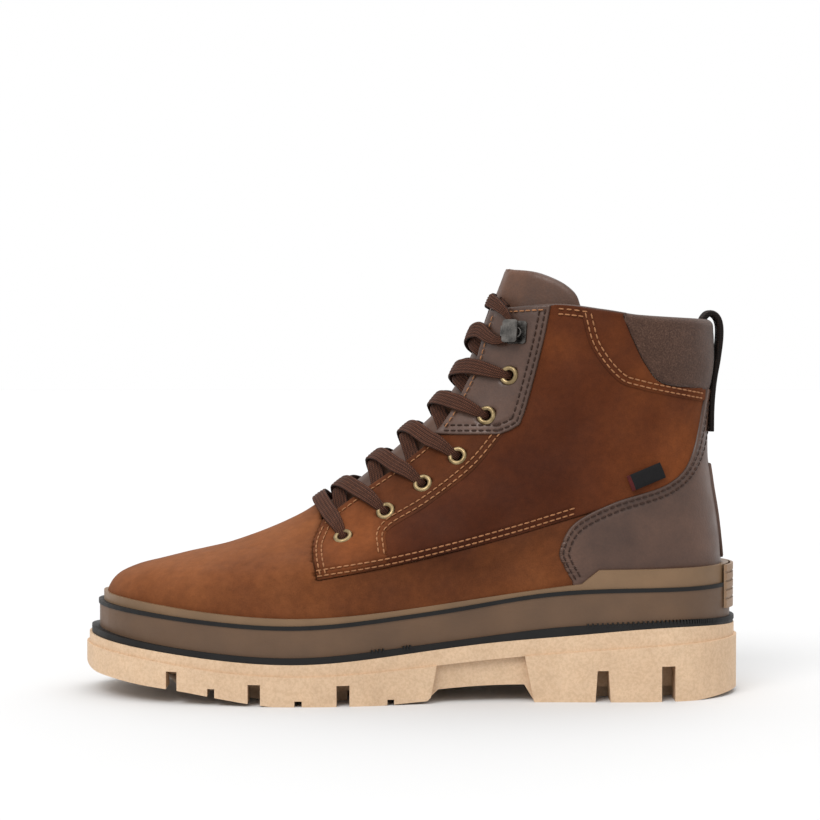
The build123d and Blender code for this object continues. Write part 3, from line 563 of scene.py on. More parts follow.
THREAD = (900., .7, .3, (.4, .5, .3), .06)
FLAG = (800., .75, .2, (0, .37, 0), .06)
M = {
    "nubuck_vamp": nubuck("nubuck_vamp", hexa(76, 39, 20), hexa(101, 56, 29), hexa(124, 73, 40), 16., .12),
    "nubuck": nubuck("nubuck_quarter", hexa(64, 29, 13), hexa(82, 40, 18), hexa(104, 54, 24), 18., .05),
    "nubuck_stay": nubuck("nubuck_stay", hexa(60, 29, 13), hexa(84, 43, 20), hexa(114, 62, 30), 24., .06),
    "dark": smooth_leather("waxed_leather", hexa(60, 38, 27), hexa(76, 51, 38), hexa(92, 64, 49)),
    "tongue": smooth_leather("tongue_leather", hexa(62, 37, 23), hexa(80, 50, 32), hexa(100, 62, 38), .48),
    "cuff": felt("wool_cuff", hexa(48, 32, 25), hexa(68, 47, 37), hexa(98, 73, 60), 1500., .15, .25),
    "lining": felt("fleece_lining", hexa(88, 74, 60), hexa(122, 104, 84), hexa(150, 130, 108), 420., .6, .8),
    "bed": felt("footbed_felt", hexa(96, 82, 68), hexa(118, 102, 84), hexa(140, 122, 102), 500.),
    "outsole": rubber("cream_rubber", hexa(200, 170, 139), hexa(209, 180, 149), .66, (.86, .83, .79, 1)),
    "rand": rubber("black_rubber", hexa(11, 9, 9), hexa(18, 16, 15), .55, shine=.3),
    "midsole": rubber("olive_rubber", hexa(84, 62, 44), hexa(96, 71, 50)),
    "rim": rubber("light_olive_rubber", hexa(106, 82, 58), hexa(120, 93, 66)),
    "bumper": rubber("bumper_rubber", hexa(122, 96, 72), hexa(136, 108, 82), .55),
    "foam": rubber("foam", hexa(180, 172, 158), hexa(198, 190, 176), .9),
    "board": rubber("board", hexa(150, 136, 116), hexa(168, 152, 130), .9),
    "aglet": rubber("aglet", hexa(40, 30, 26), hexa(56, 44, 38), .3),
    # the lace and the webbing get painted shade in the grooves between their ribs (last argument True)
    "lace": woven("flat_lace", hexa(52, 30, 21), hexa(98, 60, 42), 420., .85, .1, (0, .6, .5), .2, True),
    "webbing": woven("webbing", hexa(26, 20, 18), hexa(58, 44, 38), 300., .85, .1, (0, 0, 0), .15, True),
    "tan_thread": woven("tan_thread", hexa(128, 84, 54), hexa(186, 133, 92), *THREAD),
    "dark_thread": woven("dark_thread", hexa(40, 27, 22), hexa(72, 52, 43), *THREAD),
    "label": woven("label_weave", hexa(10, 9, 10), hexa(26, 24, 25), *FLAG),
    "label_mark": woven("label_end", hexa(58, 16, 15), hexa(88, 26, 23), *FLAG),
    "brass": metal("antique_brass", hexa(104, 88, 62), hexa(160, 140, 104), .36),
    "gunmetal": metal("gunmetal", hexa(70, 68, 66), hexa(112, 108, 104), .32),
}

# what each CAD node that stays is painted with, by the start of its name
PAINT = {
    "outsole": "outsole", "rand_strip": "rand", "accent_line": "rand", "midsole_cup": "midsole",
    "midsole_rim": "rim", "heel_bumper": "bumper", "midsole_core": "foam", "insole_board": "board",
    "shank": "gunmetal", "eyelets": "brass", "lace_hook": "gunmetal", "hook_rivets": "gunmetal",
    "lining": "lining", "footbed_cover": "bed", "footbed": "foam", "insulation": "foam",
    "collar_foam": "foam",
    "toe_puff": "board", "heel_counter": "board", "eyelet_facing": "dark", "vamp": "nubuck_vamp",
    "quarter": "nubuck", "eyestay_lower": "nubuck_stay", "eyestay_upper": "dark", "collar_band": "nubuck",
    "heel_foxing": "dark", "back_strip": "dark", "collar_cuff": "cuff", "tongue_leather": "tongue",
    "tongue_foam": "foam", "tongue_lining": "lining", "lace": "lace", "lace_aglets": "aglet",
    "pull_loop": "webbing", "side_label": "label",
}
for key, node in nodes.items():
    match = max((p for p in PAINT if key.startswith(p)), key=len)
    node.data.materials.clear()
    node.data.materials.append(M[PAINT[match]])

# the moulded sole's edges are slightly rounded
soften = nodes["outsole"].modifiers.new("soften", "BEVEL")
soften.width = .6 * MM
soften.segments = 2
soften.limit_method = "ANGLE"
soften.angle_limit = math.radians(50)


# ---------------------------------------------------------------- stitching
PITCH, STITCH, THREAD_RADIUS, THREAD_RISE = 3.1, 2.5, .35, .3      # mm, the middle two along the seam
STITCH_AT = np.array([-.5, -.42, -.2, 0, .2, .42, .5])             # stations along one stitch
STITCH_DIP = np.array([-.75, -.3, .05, .12, .05, -.3, -.75])       # its ends go down into the leather
STITCH_FULL = np.array([.35, .8, 1, 1.04, 1, .8, .35])
AROUND = 6


def stitch_mesh(name, lines, material):
    """Rows of separate raised stitches. Each line is an array of (v, z, rise)."""
    verts, faces = [], []
    for line in lines:
        v, z, up = line[:, 0], line[:, 1], line[:, 2]
        points, normals = skin(v, z, up + THREAD_RISE), outward(v, z)
        distance = np.concatenate(([0], np.cumsum(np.linalg.norm(np.diff(points, axis=0), axis=1)))) / MM
        count = int(distance[-1] / PITCH)
        for k in range(count):
            stations = (k + .5) * distance[-1] / count + STITCH_AT * STITCH
            drop, thick = STITCH_DIP * THREAD_RADIUS, STITCH_FULL * THREAD_RADIUS
            centre = np.stack([np.interp(stations, distance, points[:, a]) for a in range(3)], 1)
            normal = np.stack([np.interp(stations, distance, normals[:, a]) for a in range(3)], 1)
            along = centre[-1] - centre[0]
            along /= np.linalg.norm(along)
            first = len(verts)
            for c, n, d, t in zip(centre, normal, drop, thick):
                side = np.cross(along, n)
                side /= np.linalg.norm(side)
                for a in range(AROUND):
                    angle = a * math.pi / 3
                    verts.append(c + (n * (d + math.sin(angle) * t * .8) + side * math.cos(angle) * t) * MM)
            for i in range(first, len(verts) - AROUND, AROUND):
                for a in range(AROUND):
                    b = (a + 1) % AROUND
                    faces.append((i + a, i + b, i + AROUND + b, i + AROUND + a))
            faces.append(tuple(first + a for a in reversed(range(AROUND))))
            faces.append(tuple(len(verts) - AROUND + a for a in range(AROUND)))
    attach(to_mesh(name, verts, faces, material), "boot")


def row(line, side, rise=0.):
    """A side-view line as a stitch line on one side."""
    vz = on_side(line, side)
    return np.column_stack([vz, np.full(len(vz), rise)])


def clip(line, keep):
    """The line's points for which keep(x, z) holds."""
    return line[[bool(keep(x, z)) for x, z in line]]


rows_tan, rows_dark = {-1: [], 1: []}, {-1: [], 1: []}
NEAR, FAR = 1.9, 4.3          # the two rows of a double seam, from the cut edge
COLLAR_ROWS = ((-3.2, -.9), (-.8, 1.4))      # from the collar's seam, at the top edge and at the heel
for side in SIDES.values():
    vamp_rows = [set_back(VAMP_SEAM, -d) for d in (NEAR, FAR)]
    vamp_rows = [clip(line, lambda x, z: x < 75.5) for line in vamp_rows]
    stay_rows = [clip(set_back(EYESTAY_SEAM, -d), lambda x, z: z > 67.5) for d in (NEAR, FAR)]
    collar_rows = [clip(set_back(COLLAR_SEAM, np.linspace(a, b, len(COLLAR_SEAM))),
                        lambda x, z: z < topline(x) - 1.5 and x < 135.5) for a, b in COLLAR_ROWS]
    tab_rows = [clip(set_back(TAB, d), lambda x, z: 58 < z < 79) for d in (NEAR, FAR)]
    throat_row = clip(set_back(THROAT, 2.2), lambda x, z: z < 118)
    rows_tan[side] += [row(line, side, .25) for line in vamp_rows + stay_rows + tab_rows + [throat_row]]
    rows_tan[side] += [row(line, side, .7) for line in collar_rows]
    top_rows = [clip(set_back(UPPER_EYESTAY, -d), lambda x, z: z < topline(x) - 1.5) for d in (NEAR, FAR)]
    upper_throat = clip(set_back(THROAT, 2.2), lambda x, z: 122 < z < 175.5)
    top_row = on_topline(43.5, 62, 2.4)
    rows_tan[side] += [row(line, side, 1.45) for line in (upper_throat, top_row)]
    band_rows = [on_topline(67, 82.5 - d * .8, d) for d in (1.8, 4.2)]
    rows_tan[side] += [row(line, side, .1) for line in band_rows]
    base_rows = [straight([(16, 119.7 + d), (41, 120.5 + d)]) for d in (NEAR, FAR)]
    fox_rows = [clip(set_back(FOXING, d), lambda x, z: rim_top(x) + .5 < z < 137) for d in (NEAR, FAR)]
    rows_dark[side] += [row(line, side, 1.3) for line in top_rows + base_rows + fox_rows]
for name, side in SIDES.items():
    for line in rows_tan[side] + rows_dark[side]:
        STITCH_LINES.append(skin(line[:, 0], line[:, 1], 0))
    stitch_mesh(f"stitches_tan_{name}", rows_tan[side], M["tan_thread"])
    stitch_mesh(f"stitches_dark_{name}", rows_dark[side], M["dark_thread"])


# ---------------------------------------------------------------- leather panels
def vamp_loop():
    """The vamp's outline: under the rim, up the quarter's seam and the tab, on both sides."""
    points = np.concatenate([
        np.array([(x, float(rim_top(x)) - 5) for x in np.arange(-143.5, 77, 1.)]),
        straight([(76, float(rim_top(76)) - 5), (84, 85.6)]),
        VAMP_SEAM[::-1], TAB,
        straight([(-40.2, 80.9), (-41, 82), (-41, 89.15)]),
    ])
    return np.concatenate([on_side(points, -1), on_side(points, 1)[::-1]])


def hidden_low(loop):
    """Loop points under the rim, which are no cut edge."""
    x = face(loop[:, 0], loop[:, 1])[:, 0]
    return loop[:, 1] < rim_top(x) + .5


vamp = panel("vamp_leather", vamp_loop(), M["nubuck_vamp"], 0., 1.7, spacing=1.7,
             hidden=hidden_low, seed=2, wave=.3, scale=88)
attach(vamp, "boot")
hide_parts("vamp")

for name, side in SIDES.items():
    # the quarter lies over the vamp and under the eyestay, the collar band and the heel piece
    loop = np.concatenate([
        smooth([(-8, 62.0), (40.9, 73.3), (84, 85.6)]),
        clip(set_back(FOXING, 5), lambda x, z: x > 84),
        straight([(136.5, 137), (136.5, 138)]),
        set_back(COLLAR_SEAM, -1.5)[::-1],
        on_topline(66, 79)[::-1],
        clip(set_back(UPPER_EYESTAY, -4), lambda x, z: z < topline(x) - .6)[::-1],
        set_back(EYESTAY_SEAM, -3)[::-1],
    ])
    piece = panel(f"quarter_leather_{name}", on_side(loop, side), M["nubuck"], .05, 1.8,
                  seed=5 + side, wave=.32, hidden=lambda line: line[:, 1] > 88)
    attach(piece, "boot")
    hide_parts(f"quarter_{name}")

    holes = [(side * float(turn_at(x, z)), z, 2.9) for x, z in EYELETS]
    throat_low = clip(THROAT, lambda x, z: z < 126)
    front_low = smooth([(-41.4, 55.8), (-8, 62)])
    loop = np.concatenate([TAB, throat_low, straight([tuple(throat_low[-1]), (44, 124.5), (43, 120.5)]),
                           EYESTAY_SEAM[::-1], front_low[::-1]])
    piece = panel(f"eyestay_leather_{name}", on_side(loop, side), M["nubuck_stay"], .4, 2.1,
                  holes=holes[:4], seed=8 + side, wave=.16)
    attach(piece, "boot")
    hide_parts(f"eyestay_lower_{name}")

    throat_high = clip(THROAT, lambda x, z: z > 120.3 and z < topline(x))
    rear = clip(UPPER_EYESTAY, lambda x, z: z < topline(x))
    loop = np.concatenate([throat_high, on_topline(39, 64.5), rear[::-1],
                           straight([(41, 120.5), (11.5, 119.7)])])
    piece = panel(f"eyestay_top_{name}", on_side(loop, side), M["dark"], 1.5, 2.8,
                  holes=holes[4:], seed=12 + side, wave=.14)
    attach(piece, "boot")
    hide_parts(f"eyestay_upper_{name}")

    band_low = set_back(COLLAR_SEAM, np.linspace(1.2, 3.3, len(COLLAR_SEAM)))
    loop = np.concatenate([
        clip(band_low, lambda x, z: z < topline(x))[::-1],
        on_topline(76.8, 97.5),
        clip(CUFF_SEAM, lambda x, z: z < topline(x)),
        straight([(136.6, 141.4), (136.6, 135.2)]),
    ])
    piece = panel(f"collar_leather_{name}", on_side(loop, side), M["nubuck"], .8, 2.4,
                  seed=15 + side, wave=.1)
    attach(piece, "boot")
    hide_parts(f"collar_band_{name}")

# the heel piece, one panel round the heel
fox = clip(FOXING, lambda x, z: z > 50)
half = round_heel(np.concatenate([straight([(140, 54), (74.5, 48.5)]), fox]))
loop = np.concatenate([half, mirror_heel(half)])
heel_piece = panel("heel_leather", loop, M["dark"], 1.3, 2.6, seed=21, wave=.2, hidden=hidden_low, scale=70)
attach(heel_piece, "boot")
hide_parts("heel_foxing")

# the strip up the back seam
STRIP_TURN = .13                   # half its width, as a turn of the heel
strip = [(-math.pi + u * STRIP_TURN, z) for u, z in
         [(-1, 64), (-1, 104), (-.85, 106), (.85, 106), (1, 104), (1, 64), (.9, 62.5), (-.9, 62.5)]]
strip = straight(strip + strip[:1], .02)
loop = []
for a, b in zip(strip, strip[1:]):
    steps = max(1, int(abs(b[1] - a[1]) / .8))
    loop += [a + (b - a) * k / steps for k in range(steps)]
back_strip = panel("back_strip_leather", np.array(loop), M["dark"], 2.55, 1.5, spacing=1.3,
                   grooves=False, seed=30, wave=.1, scale=60)
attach(back_strip, "boot")
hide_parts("back_strip")

# ---------------------------------------------------------------- padded pieces
# how far the tongue's face lies under the nubuck face, and its thickness, by the turn in degrees
tongue_sink = ease([(0, -2.5), (12, -3.4), (22, -5.6), (34, -7.4), (45, -9), (55, -9.6), (180, -9.6)])
tongue_depth = ease([(0, 6), (30, 5.5), (45, 3.5), (60, 2.6), (180, 2.6)])


def tongue_rise(v, z):
    return tongue_sink(np.degrees(np.abs(v)))


def tongue_thick(v, z):
    return tongue_depth(np.degrees(np.abs(v)))


def on_tongue(line, side):
    """Side-view points that the tongue's sunken face should show, as (v, z)."""
    at = line.copy()
    for _ in range(8):
        v, z = side * turn_at(at[:, 0], at[:, 1]), at[:, 1]
        shown = skin(v, z, tongue_rise(v, z)) / MM - SHIFT
        at = at + .8 * (line - shown[:, [0, 2]])
        at[:, 0] = np.maximum(at[:, 0], front(at[:, 1]))
    return np.stack([side * turn_at(at[:, 0], at[:, 1]), at[:, 1]], 1)


top_line = smooth([(45.6, 197.3), (54, 196.2), (62, 193.6), (70, 189.6), (75.6, 184.6), (78, 178.5)])
side_line = smooth([(78, 178.5), (74, 170), (60, 152), (34, 122), (12, 98), (-12, 80), (-39.5, 76)])
root_line = straight([(-39.5, 76), (-39.5, 88)])
outer = on_tongue(np.concatenate([top_line, side_line[1:], root_line[1:]]), -1)
outer = np.concatenate([[[0, outer[0, 1] + .3]], outer[1:-1], [[0, 91.5]]])
loop = np.concatenate([outer, (outer * [-1, 1])[::-1][1:-1]])
tongue = panel("tongue_padded", loop, M["tongue"], tongue_rise, tongue_thick, spacing=1.7,
               grooves=False, roll=2.6, wave=.28, seed=40, scale=70, padded=True)
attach(tongue, "tongue")
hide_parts("tongue_leather", "tongue_foam", "tongue_lining")

# the wool cuff: a roll of padding round the collar
cuff_line = on_side(clip(CUFF_SEAM, lambda x, z: z < 173.5), -1)
seam_z = ease([(float(v), float(z)) for v, z in cuff_line[::-1] if v > -math.pi + .02][:1] +
              [(float(v), float(z)) for v, z in cuff_line[::-1][4::5]])


LIP, CUFF_INSIDE = 3.2, 17         # radius of the rolled top edge; how far the roll reaches down inside
OUTER_POINTS = 24                  # the points of a section that show outside and on the lip


def cuff_column(v):
    """One section of the roll, as (height, rise) points."""
    turn = -abs(v if v > -math.pi else -2 * math.pi - v)
    low = float(seam_z(turn)) if turn > cuff_line[-1, 0] else 141.4
    x = float(face(v, 172.)[0])
    high = float(topline(x)) + .4
    low = min(low, high - 4.5) - 1.5 * float(np.clip((x - 131) / 4, 0, 1))
    tall = high - low
    points = []
    for s in np.linspace(0, 1, 15):
        swell = .9 * math.sin(math.pi * min(s * 1.05, 1)) * min(1, tall / 14)
        points.append((low + (tall - LIP) * s, .35 + swell))
    for a in np.linspace(0, math.pi, 11)[1:-1]:
        points.append((high - LIP + LIP * math.sin(a), -3.35 + 3.7 * math.cos(a)))
    for s in np.linspace(0, 1, 8):
        points.append((high - LIP - CUFF_INSIDE * s, -7.05 + .5 * math.cos(math.pi * s) - .5))
    rest = CUFF_INSIDE - max(0, LIP + CUFF_INSIDE - tall)
    for s in np.linspace(0, 1, 7)[:-1]:
        points.append((high - LIP - CUFF_INSIDE + .5 + rest * s * .8, -5.6))
    points.append((low + 1, -1.4))
    return points


def cuff_rumple(v, z, rise):
    return rumple((v * .05, z * MM * 2, rise * MM * 2), 14, .3, 3)


ends = cuff_line[0, 0]
turns = np.linspace(ends, -2 * math.pi - ends, 190)
columns = [cuff_column(v) for v in turns]
count = len(columns[0])
verts = np.array([skin(v, z, rise + (cuff_rumple(v, z, rise) if k < OUTER_POINTS else 0))
                  for v, column in zip(turns, columns) for k, (z, rise) in enumerate(column)])
faces = [(i * count + j, (i + 1) * count + j, (i + 1) * count + (j + 1) % count, i * count + (j + 1) % count)
         for i in range(len(turns) - 1) for j in range(count)]
faces += [tuple(reversed(range(count))), tuple((len(turns) - 1) * count + j for j in range(count))]
cuff = to_mesh("collar_cuff_padded", verts, [f[::-1] for f in faces], M["cuff"])
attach(cuff, "boot")
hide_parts("collar_cuff", "collar_foam")


# ---------------------------------------------------------------- laces
ROWS = EYELETS + [HOOK]
row_x = ease([(k, x) for k, (x, z) in enumerate(ROWS)])
row_z = ease([(k, z) for k, (x, z) in enumerate(ROWS)])
crest_z = ease(list(enumerate([89, 102, 115, 128, 141.5, 156, 174])))
edge_shares = [.59, .59, .59, .62, .65, .66, .64, .59, .56, .53, .49, .47, .44, .46]
throat_share = ease([(k / 2, share) for k, share in enumerate(edge_shares)])
LACE_WIDTH, LACE_THICK = 7.4, 1.5
INSIDE, LAID = -4.2, 1.2           # rise of the lace behind and on the leather, mm
# shares of the way from the middle to an eyelet: the strand's lower end, an eyelet's rim and its hole
CLEAR, RIM_SHARE, MOUTH = .16, .84, .93


def lace_place(at, share):
    """The (v, z) at a share of the way from the middle line to the eyelet of that row."""
    end = turn_at(row_x(at), row_z(at))
    turn = abs(share) * end
    height = crest_z(at) - (crest_z(at) - row_z(at)) * (1 - np.cos(turn)) / (1 - np.cos(end))
    return (-1 if share < 0 else 1) * float(turn), float(height)


def over_tongue(at, share):
    """The rise at which the lace lies on the tongue."""
    v, z = lace_place(at, share)
    return float(tongue_rise(v, z)) + LACE_THICK / 2 + .5


def swept(centres, normals, widths, thicks, ribs=5, rib=.2, sides=52):
    """A flat strap along a line, with ribs: its broad faces look along the normals."""
    verts, groove = [], []
    for k, (c, n, w, t) in enumerate(zip(centres, normals, widths, thicks)):
        along = centres[min(k + 1, len(centres) - 1)] - centres[max(k - 1, 0)]
        across = np.cross(n, along)
        across /= np.linalg.norm(across)
        up = np.cross(along, across)
        up /= np.linalg.norm(up)
        for a in range(sides):
            angle = a / sides * 2 * math.pi
            s = math.cos(angle)
            s = math.copysign(abs(s) ** .72, s)
            q = math.sin(angle)
            body = math.copysign(abs(q) ** .42, q) if abs(q) > 1e-6 else 0
            ripple = rib * math.cos(s * ribs * math.pi) * (1 - abs(s) ** 4)
            # where the grooves between the ribs lie: the woven material paints shade there
            groove.append(.5 + .5 * math.cos(s * ribs * math.pi) if ribs else 1)
            verts.append(c + (across * s * w / 2 + up * body * (t / 2 + ripple)) * MM)
    faces = []
    for k in range(len(centres) - 1):
        i = k * sides
        faces += [(i + a, i + sides + a, i + sides + (a + 1) % sides, i + (a + 1) % sides)
                  for a in range(sides)]
    last = (len(centres) - 1) * sides
    faces += [tuple(range(sides)), tuple(last + a for a in reversed(range(sides)))]
    return verts, [f[::-1] for f in faces], groove


def ribbon(stops, steps=9):
    """A lace through stops of (row, share, rise, width)."""
    places = [lace_place(at, share) for at, share, rise, width in stops]
    points = [skin(v, z, stop[2]) for (v, z), stop in zip(places, stops)]
    normals = [outward(np.float64(v), np.float64(z)) for v, z in places]
    rows = np.column_stack([np.array(points) / MM, np.array(normals), [s[3] for s in stops]])
    out = through(rows, lambda b, c: steps)
    normal = out[:, 3:6] / np.linalg.norm(out[:, 3:6], axis=1, keepdims=True)
    width = np.clip(out[:, 6], 2, LACE_WIDTH + .2)
    thick = LACE_THICK * (1 + .55 * np.clip((LACE_WIDTH - width) / 3, 0, 1))
    return swept(out[:, :3] * MM, normal, width, thick)


def panel_rise(at):
    """The top of the leather at that row: the upper stay is thicker."""
    return 1.6 if at > 3.4 else .5


def strand(at, side, over, landing=None):
    """The lace from one row's hole over the tongue to the next row's on the other side."""
    lift = 3.2 if over else 1.2
    near, far = float(throat_share(at + .2)), float(throat_share(at + .8))
    stops = [(at + (share + 1) / 2, side * share, INSIDE - drop, width)
             for share, drop, width in ((-MOUTH, 1, 4.4), (-RIM_SHARE, .9, 6), (-near, .5, LACE_WIDTH))]
    for share in (CLEAR - near, -.2, 0):
        swell, place = max(0, 1 - (share / .55) ** 2), at + (share + 1) / 2
        stops.append((place, side * share, over_tongue(place, share) + lift * swell + .3, LACE_WIDTH))
    reach, crest = LAID + panel_rise(at + 1) + .6, stops[-1][2]
    stops.append((at + .5 + far * .27, side * far * .52, crest + (reach - crest) * .5 + .3, LACE_WIDTH))
    if landing is None:
        top = LAID + panel_rise(at + 1)
        landing = [(.81, far, top + .6, LACE_WIDTH), (.89, (far + RIM_SHARE) / 2 + .02, top + .95, 7),
                   (.94, RIM_SHARE + .02, top + .55, 5.6), (.975, MOUTH + .02, panel_rise(at + 1) - .6, 4.2),
                   (1, .99, panel_rise(at + 1) - 3, 3.6)]
    stops += [(at + step, side * share, rise, width) for step, share, rise, width in landing]
    return ribbon(stops)


def round_the_hook():
    """The stops round the neck of the speed hook and back to the throat."""
    low, top = 1.3 + .9 + 1.8, LAID + 1.5
    far, back_edge = float(throat_share(5.8)), float(throat_share(6.45))
    return [(.72, far, top + .5, LACE_WIDTH), (.66, .66, top + .9, 6), (.66, .82, low + .2, 4),
            (.8, .92, low, 2.8), (1, .945, low, 2.6), (1.2, .92, low, 2.8), (1.34, .82, low + .2, 4),
            (1.42, .66, top + .9, 5.6), (1.46, back_edge, top + .3, 6.5)]


def tail(side):
    """The lace's end, tucked behind the stay."""
    edge = float(throat_share(6.45))
    stops = [(6.46, edge, LAID + 1.8, 6.5), (6.48, edge - .08, LAID + .6, 6.4), (6.5, edge - .17, -1, 6),
             (6.47, edge - .14, INSIDE, 6), (6.4, edge + .12, INSIDE, 5)]
    return ribbon([(at, side * share, rise, width) for at, share, rise, width in stops])


def bar():
    """The straight piece between the two lowest eyelets."""
    edge = float(throat_share(0))
    half = [(.99, -2.6, 3.6), (MOUTH + .02, -.2, 4.3), (RIM_SHARE + .02, LAID + 1.1, 6),
            (.7, LAID + 1.5, LACE_WIDTH), (edge, LAID + 1.5, LACE_WIDTH), (edge / 2, LAID + 1.6, LACE_WIDTH)]
    stops = [(-share, rise, width) for share, rise, width in half]
    stops += [(0, LAID + 1.7, LACE_WIDTH)] + half[::-1]
    return ribbon([(0, *stop) for stop in stops])


def joined(name, parts, material):
    verts, faces, groove = [], [], []
    for more, shape, lines in parts:
        faces += [tuple(i + len(verts) for i in f) for f in shape]
        verts += list(more)
        groove += lines
    return to_mesh(name, verts, faces, material, groove=groove)


parts = [bar()]
for side in (-1, 1):
    for at in range(len(EYELETS) - 1):
        parts.append(strand(at, -side, side > 0))
    parts.append(strand(len(EYELETS) - 1, -side, side > 0, round_the_hook()))
    parts.append(tail(side))
lace = joined("lace_woven", parts, M["lace"])
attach(lace, "boot")
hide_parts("lace")

# ---------------------------------------------------------------- loop and label
path = smooth([(135.8, 152), (135.8, 162), (136, 168.5), (137, 173.3), (139.6, 176), (142.8, 174.9),
               (144.6, 170.8), (144.7, 164), (143.6, 155), (142.2, 147), (141.2, 139), (140.7, 130),
               (140.6, 121)], .8)
centres = np.stack([path[:, 0], np.zeros(len(path)), path[:, 1]], 1)
along = np.gradient(centres, axis=0)
normals = np.cross(along, [0, 1, 0])
wobble = 1 + .015 * np.sin(np.arange(len(path)) * .4)
verts, faces, groove = swept((centres + SHIFT) * MM, normals, 15.6 * wobble, np.full(len(path), 2.9),
                             ribs=13, rib=.1, sides=90)
pull = to_mesh("pull_loop_webbing", verts, faces, M["webbing"], groove=groove)
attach(pull, "boot")
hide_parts("pull_loop")


FLAG_HALF, FLAG_UP = 8.6, 3.7      # half the flag's length and height
RED_END = -6.9                     # where its plain red end begins


def label_piece(name, low, high, material):
    """Part of the flag between two places along its length, as a thin bowed cloth."""
    v, z = -float(turn_at(107.2, 101.4)), 101.4
    origin = skin(v, z, .9)
    out = outward(np.float64(v), np.float64(z))
    ahead = np.cross([0, 0, 1], out)
    ahead /= np.linalg.norm(ahead)
    up = np.cross(out, ahead)
    tilt = math.radians(21)
    ahead, up = ahead * math.cos(tilt) + up * math.sin(tilt), up * math.cos(tilt) - ahead * math.sin(tilt)
    nx, ny = max(2, int((high - low) / .4)), 18
    front_sheet, back_sheet = [], []
    for i in range(nx + 1):
        for j in range(ny + 1):
            a, b = low + (high - low) * i / nx, -FLAG_UP + 2 * FLAG_UP * j / ny
            bow = .35 * math.sin(math.pi * j / ny)
            bow += .25 * math.sin((a + FLAG_HALF) / (2 * FLAG_HALF) * math.pi * 1.3)
            hem = .12 if min(a + FLAG_HALF, FLAG_HALF - a, b + FLAG_UP, FLAG_UP - b) < .5 else 0
            front_sheet.append(origin + (ahead * a + up * b + out * (.62 + bow * .8 - hem)) * MM)
            back_sheet.append(origin + (ahead * a + up * b + out * (.05 + bow * .8 + hem)) * MM)
    cells = []
    for i in range(nx):
        for j in range(ny):
            k = i * (ny + 1) + j
            cells += [(k, k + ny + 1, k + ny + 2), (k, k + ny + 2, k + 1)]
    piece = shell(name, np.array(front_sheet), np.array(back_sheet), np.array(cells), material)
    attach(piece, "label")
    return piece


flag = label_piece("label_cloth", RED_END, FLAG_HALF, M["label"])
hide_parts("side_label")
label_piece("label_end", -FLAG_HALF, RED_END, M["label_mark"])

# ---------------------------------------------------------------- fleece, teeth and binding
# the fleece sock inside the boot: from the toe's middle line round the heel, open behind the tongue
mouth = set_back(THROAT, 22.4)
mouth_x = ease([(float(z), float(x)) for x, z in mouth])
across, up = np.meshgrid(np.linspace(0, 1, 230), np.linspace(0, 1, 84))


def mouth_turn(z):
    """The turn at which the sock begins at that height, 0 where it is closed over the toe."""
    return np.where(z < mouth[0, 1], 0, turn_at(mouth_x(z), z))


def sock_turn(z):
    return -mouth_turn(z) - across * 2 * (math.pi - mouth_turn(z))


SOCK_LOW = 36
high = topline(face(sock_turn(174.), 174.)[..., 0]) - 1.8
height = SOCK_LOW + (high - SOCK_LOW) * up
turn = sock_turn(height)
pile = np.array([rumple(point, 11, .3, 31) + rumple(point, 2.6, .22, 37)
                 for point in skin(turn, height, -6.8).reshape(-1, 3)])
sheets = [skin(turn, height, -4.4).reshape(-1, 3),
          skin(turn, height, -6.7 + pile.reshape(turn.shape)).reshape(-1, 3)]
wide, tall = across.shape[1], across.shape[0]
cells = [(j * wide + i, j * wide + i + 1, (j + 1) * wide + i + 1, (j + 1) * wide + i)
         for j in range(tall - 1) for i in range(wide - 1)]
rim = [j * wide for j in reversed(range(tall))] + list(range(1, wide))
rim += [j * wide + wide - 1 for j in range(1, tall)]
rim += [(tall - 1) * wide + i for i in reversed(range(1, wide - 1))]
total = wide * tall
faces = [f[::-1] for f in cells] + [tuple(k + total for k in f) for f in cells]
faces += [(a, b, b + total, a + total) for a, b in zip(rim, rim[1:] + rim[:1])]
fleece = to_mesh("fleece_sock", np.concatenate(sheets), faces, M["lining"])
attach(fleece, "boot")
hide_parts("lining")

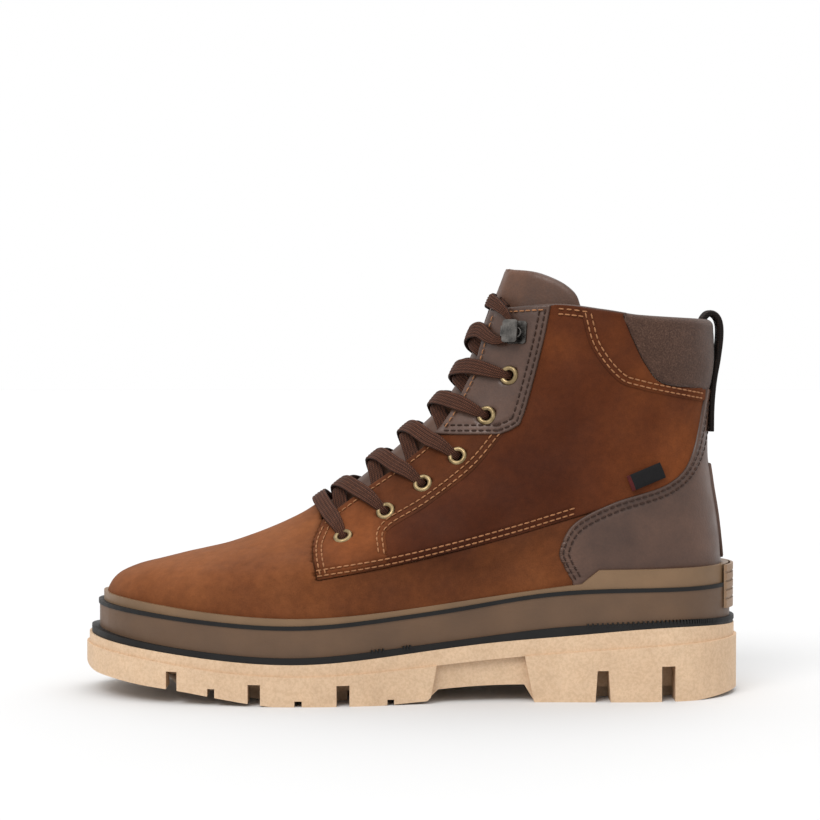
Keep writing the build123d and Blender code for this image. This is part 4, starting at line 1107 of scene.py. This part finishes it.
# fine teeth on the top edge of the black strip under the cup
strip_node = nodes["rand_strip"]
TOOTH = [(-1.6, -.5), (.4, -.5), (.4, .9), (.3, 1.4), (-1.6, 1.4)]      # (out, up) from the strip's edge
TOOTH_HALF, TEETH, TOE_END = .36, 500, -.118
verts, faces = [], []
for k in range(TEETH):
    angle = k / TEETH * 2 * math.pi
    direction = Vector((math.cos(angle) * 1.35, math.sin(angle) * .55, 0)).normalized()
    start = direction * .3
    z = float(rand_top(max(-150, min(150, start.x / MM)))) - .6
    for _ in range(3):
        hit, place, normal, _index = strip_node.ray_cast(Vector((start.x, start.y, z * MM)), -direction)
        if not hit:
            break
        z = float(rand_top((place.x / MM) - SHIFT[0])) - .6
    if not hit or place.x < TOE_END:
        continue
    normal.z = 0
    normal.normalize()
    side = Vector((-normal.y, normal.x, 0))
    first = len(verts)
    for out, up in TOOTH:
        for half in (-TOOTH_HALF, TOOTH_HALF):
            verts.append(place + (normal * out + side * half + Vector((0, 0, up))) * MM)
    faces += [tuple(first + 2 * i + o for i, o in ((i, 0), (i, 1), ((i + 1) % 5, 1), ((i + 1) % 5, 0)))
              for i in range(5)]
    faces += [tuple(first + 2 * i for i in range(5)), tuple(first + 2 * i + 1 for i in reversed(range(5)))]
teeth = to_mesh("rand_teeth", verts, faces, M["rand"], False)
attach(teeth, "boot")

# a rolled binding along the top edge in front of the cuff
for name, side in SIDES.items():
    line = on_topline(41, 98.5)
    vz = on_side(line, side)
    centres, normals = skin(vz[:, 0], vz[:, 1], -2.2), outward(vz[:, 0], vz[:, 1])
    size = np.full(len(line), 3.4)
    centres = centres - np.array([0, 0, .6]) * MM
    verts, faces, _groove = swept(centres, normals, size * .7, size, ribs=0, rib=0, sides=20)
    binding = to_mesh(f"topline_binding_{name}", verts, faces, M["tongue"])
    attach(binding, "boot")

# ---------------------------------------------------------------- camera, floor and light
scene = bpy.context.scene
camera_data = bpy.data.cameras.new("camera")
camera_data.lens = 103.2
camera_data.sensor_width = 36
camera = bpy.data.objects.new("camera", camera_data)
scene.collection.objects.link(camera)
camera.location = (-.00024, -1.0984, .165)
camera.rotation_euler = (math.radians(90 - 1.78), 0, 0)
scene.camera = camera


floor_paint, _tree, _shader = new_material("floor_paint", .9, Base_Color=(.6, .6, .6, 1))
floor = to_mesh("floor", [(-6, -6, 0), (6, -6, 0), (6, 6, 0), (-6, 6, 0)], [(0, 1, 2, 3)],
                floor_paint, False)
world = bpy.data.worlds.new("studio")
world.use_nodes = True
world.node_tree.nodes["Background"].inputs["Color"].default_value = (1, 1, 1, 1)
world.node_tree.nodes["Background"].inputs["Strength"].default_value = 1.
scene.world = world


def sun(name, direction, strength, spread):
    data = bpy.data.lights.new(name, "SUN")
    data.energy = strength
    data.angle = math.radians(spread)
    obj = bpy.data.objects.new(name, data)
    obj.rotation_euler = Vector(direction).to_track_quat("Z", "Y").to_euler()
    scene.collection.objects.link(obj)


sun("key_sun", (-.55, -1, 1.25), 1.5, 30)
sun("top_sun", (.15, .1, 1), .8, 55)
sun("back_sun", (.6, 1, .9), .5, 50)
scene.view_settings.view_transform = "Standard"
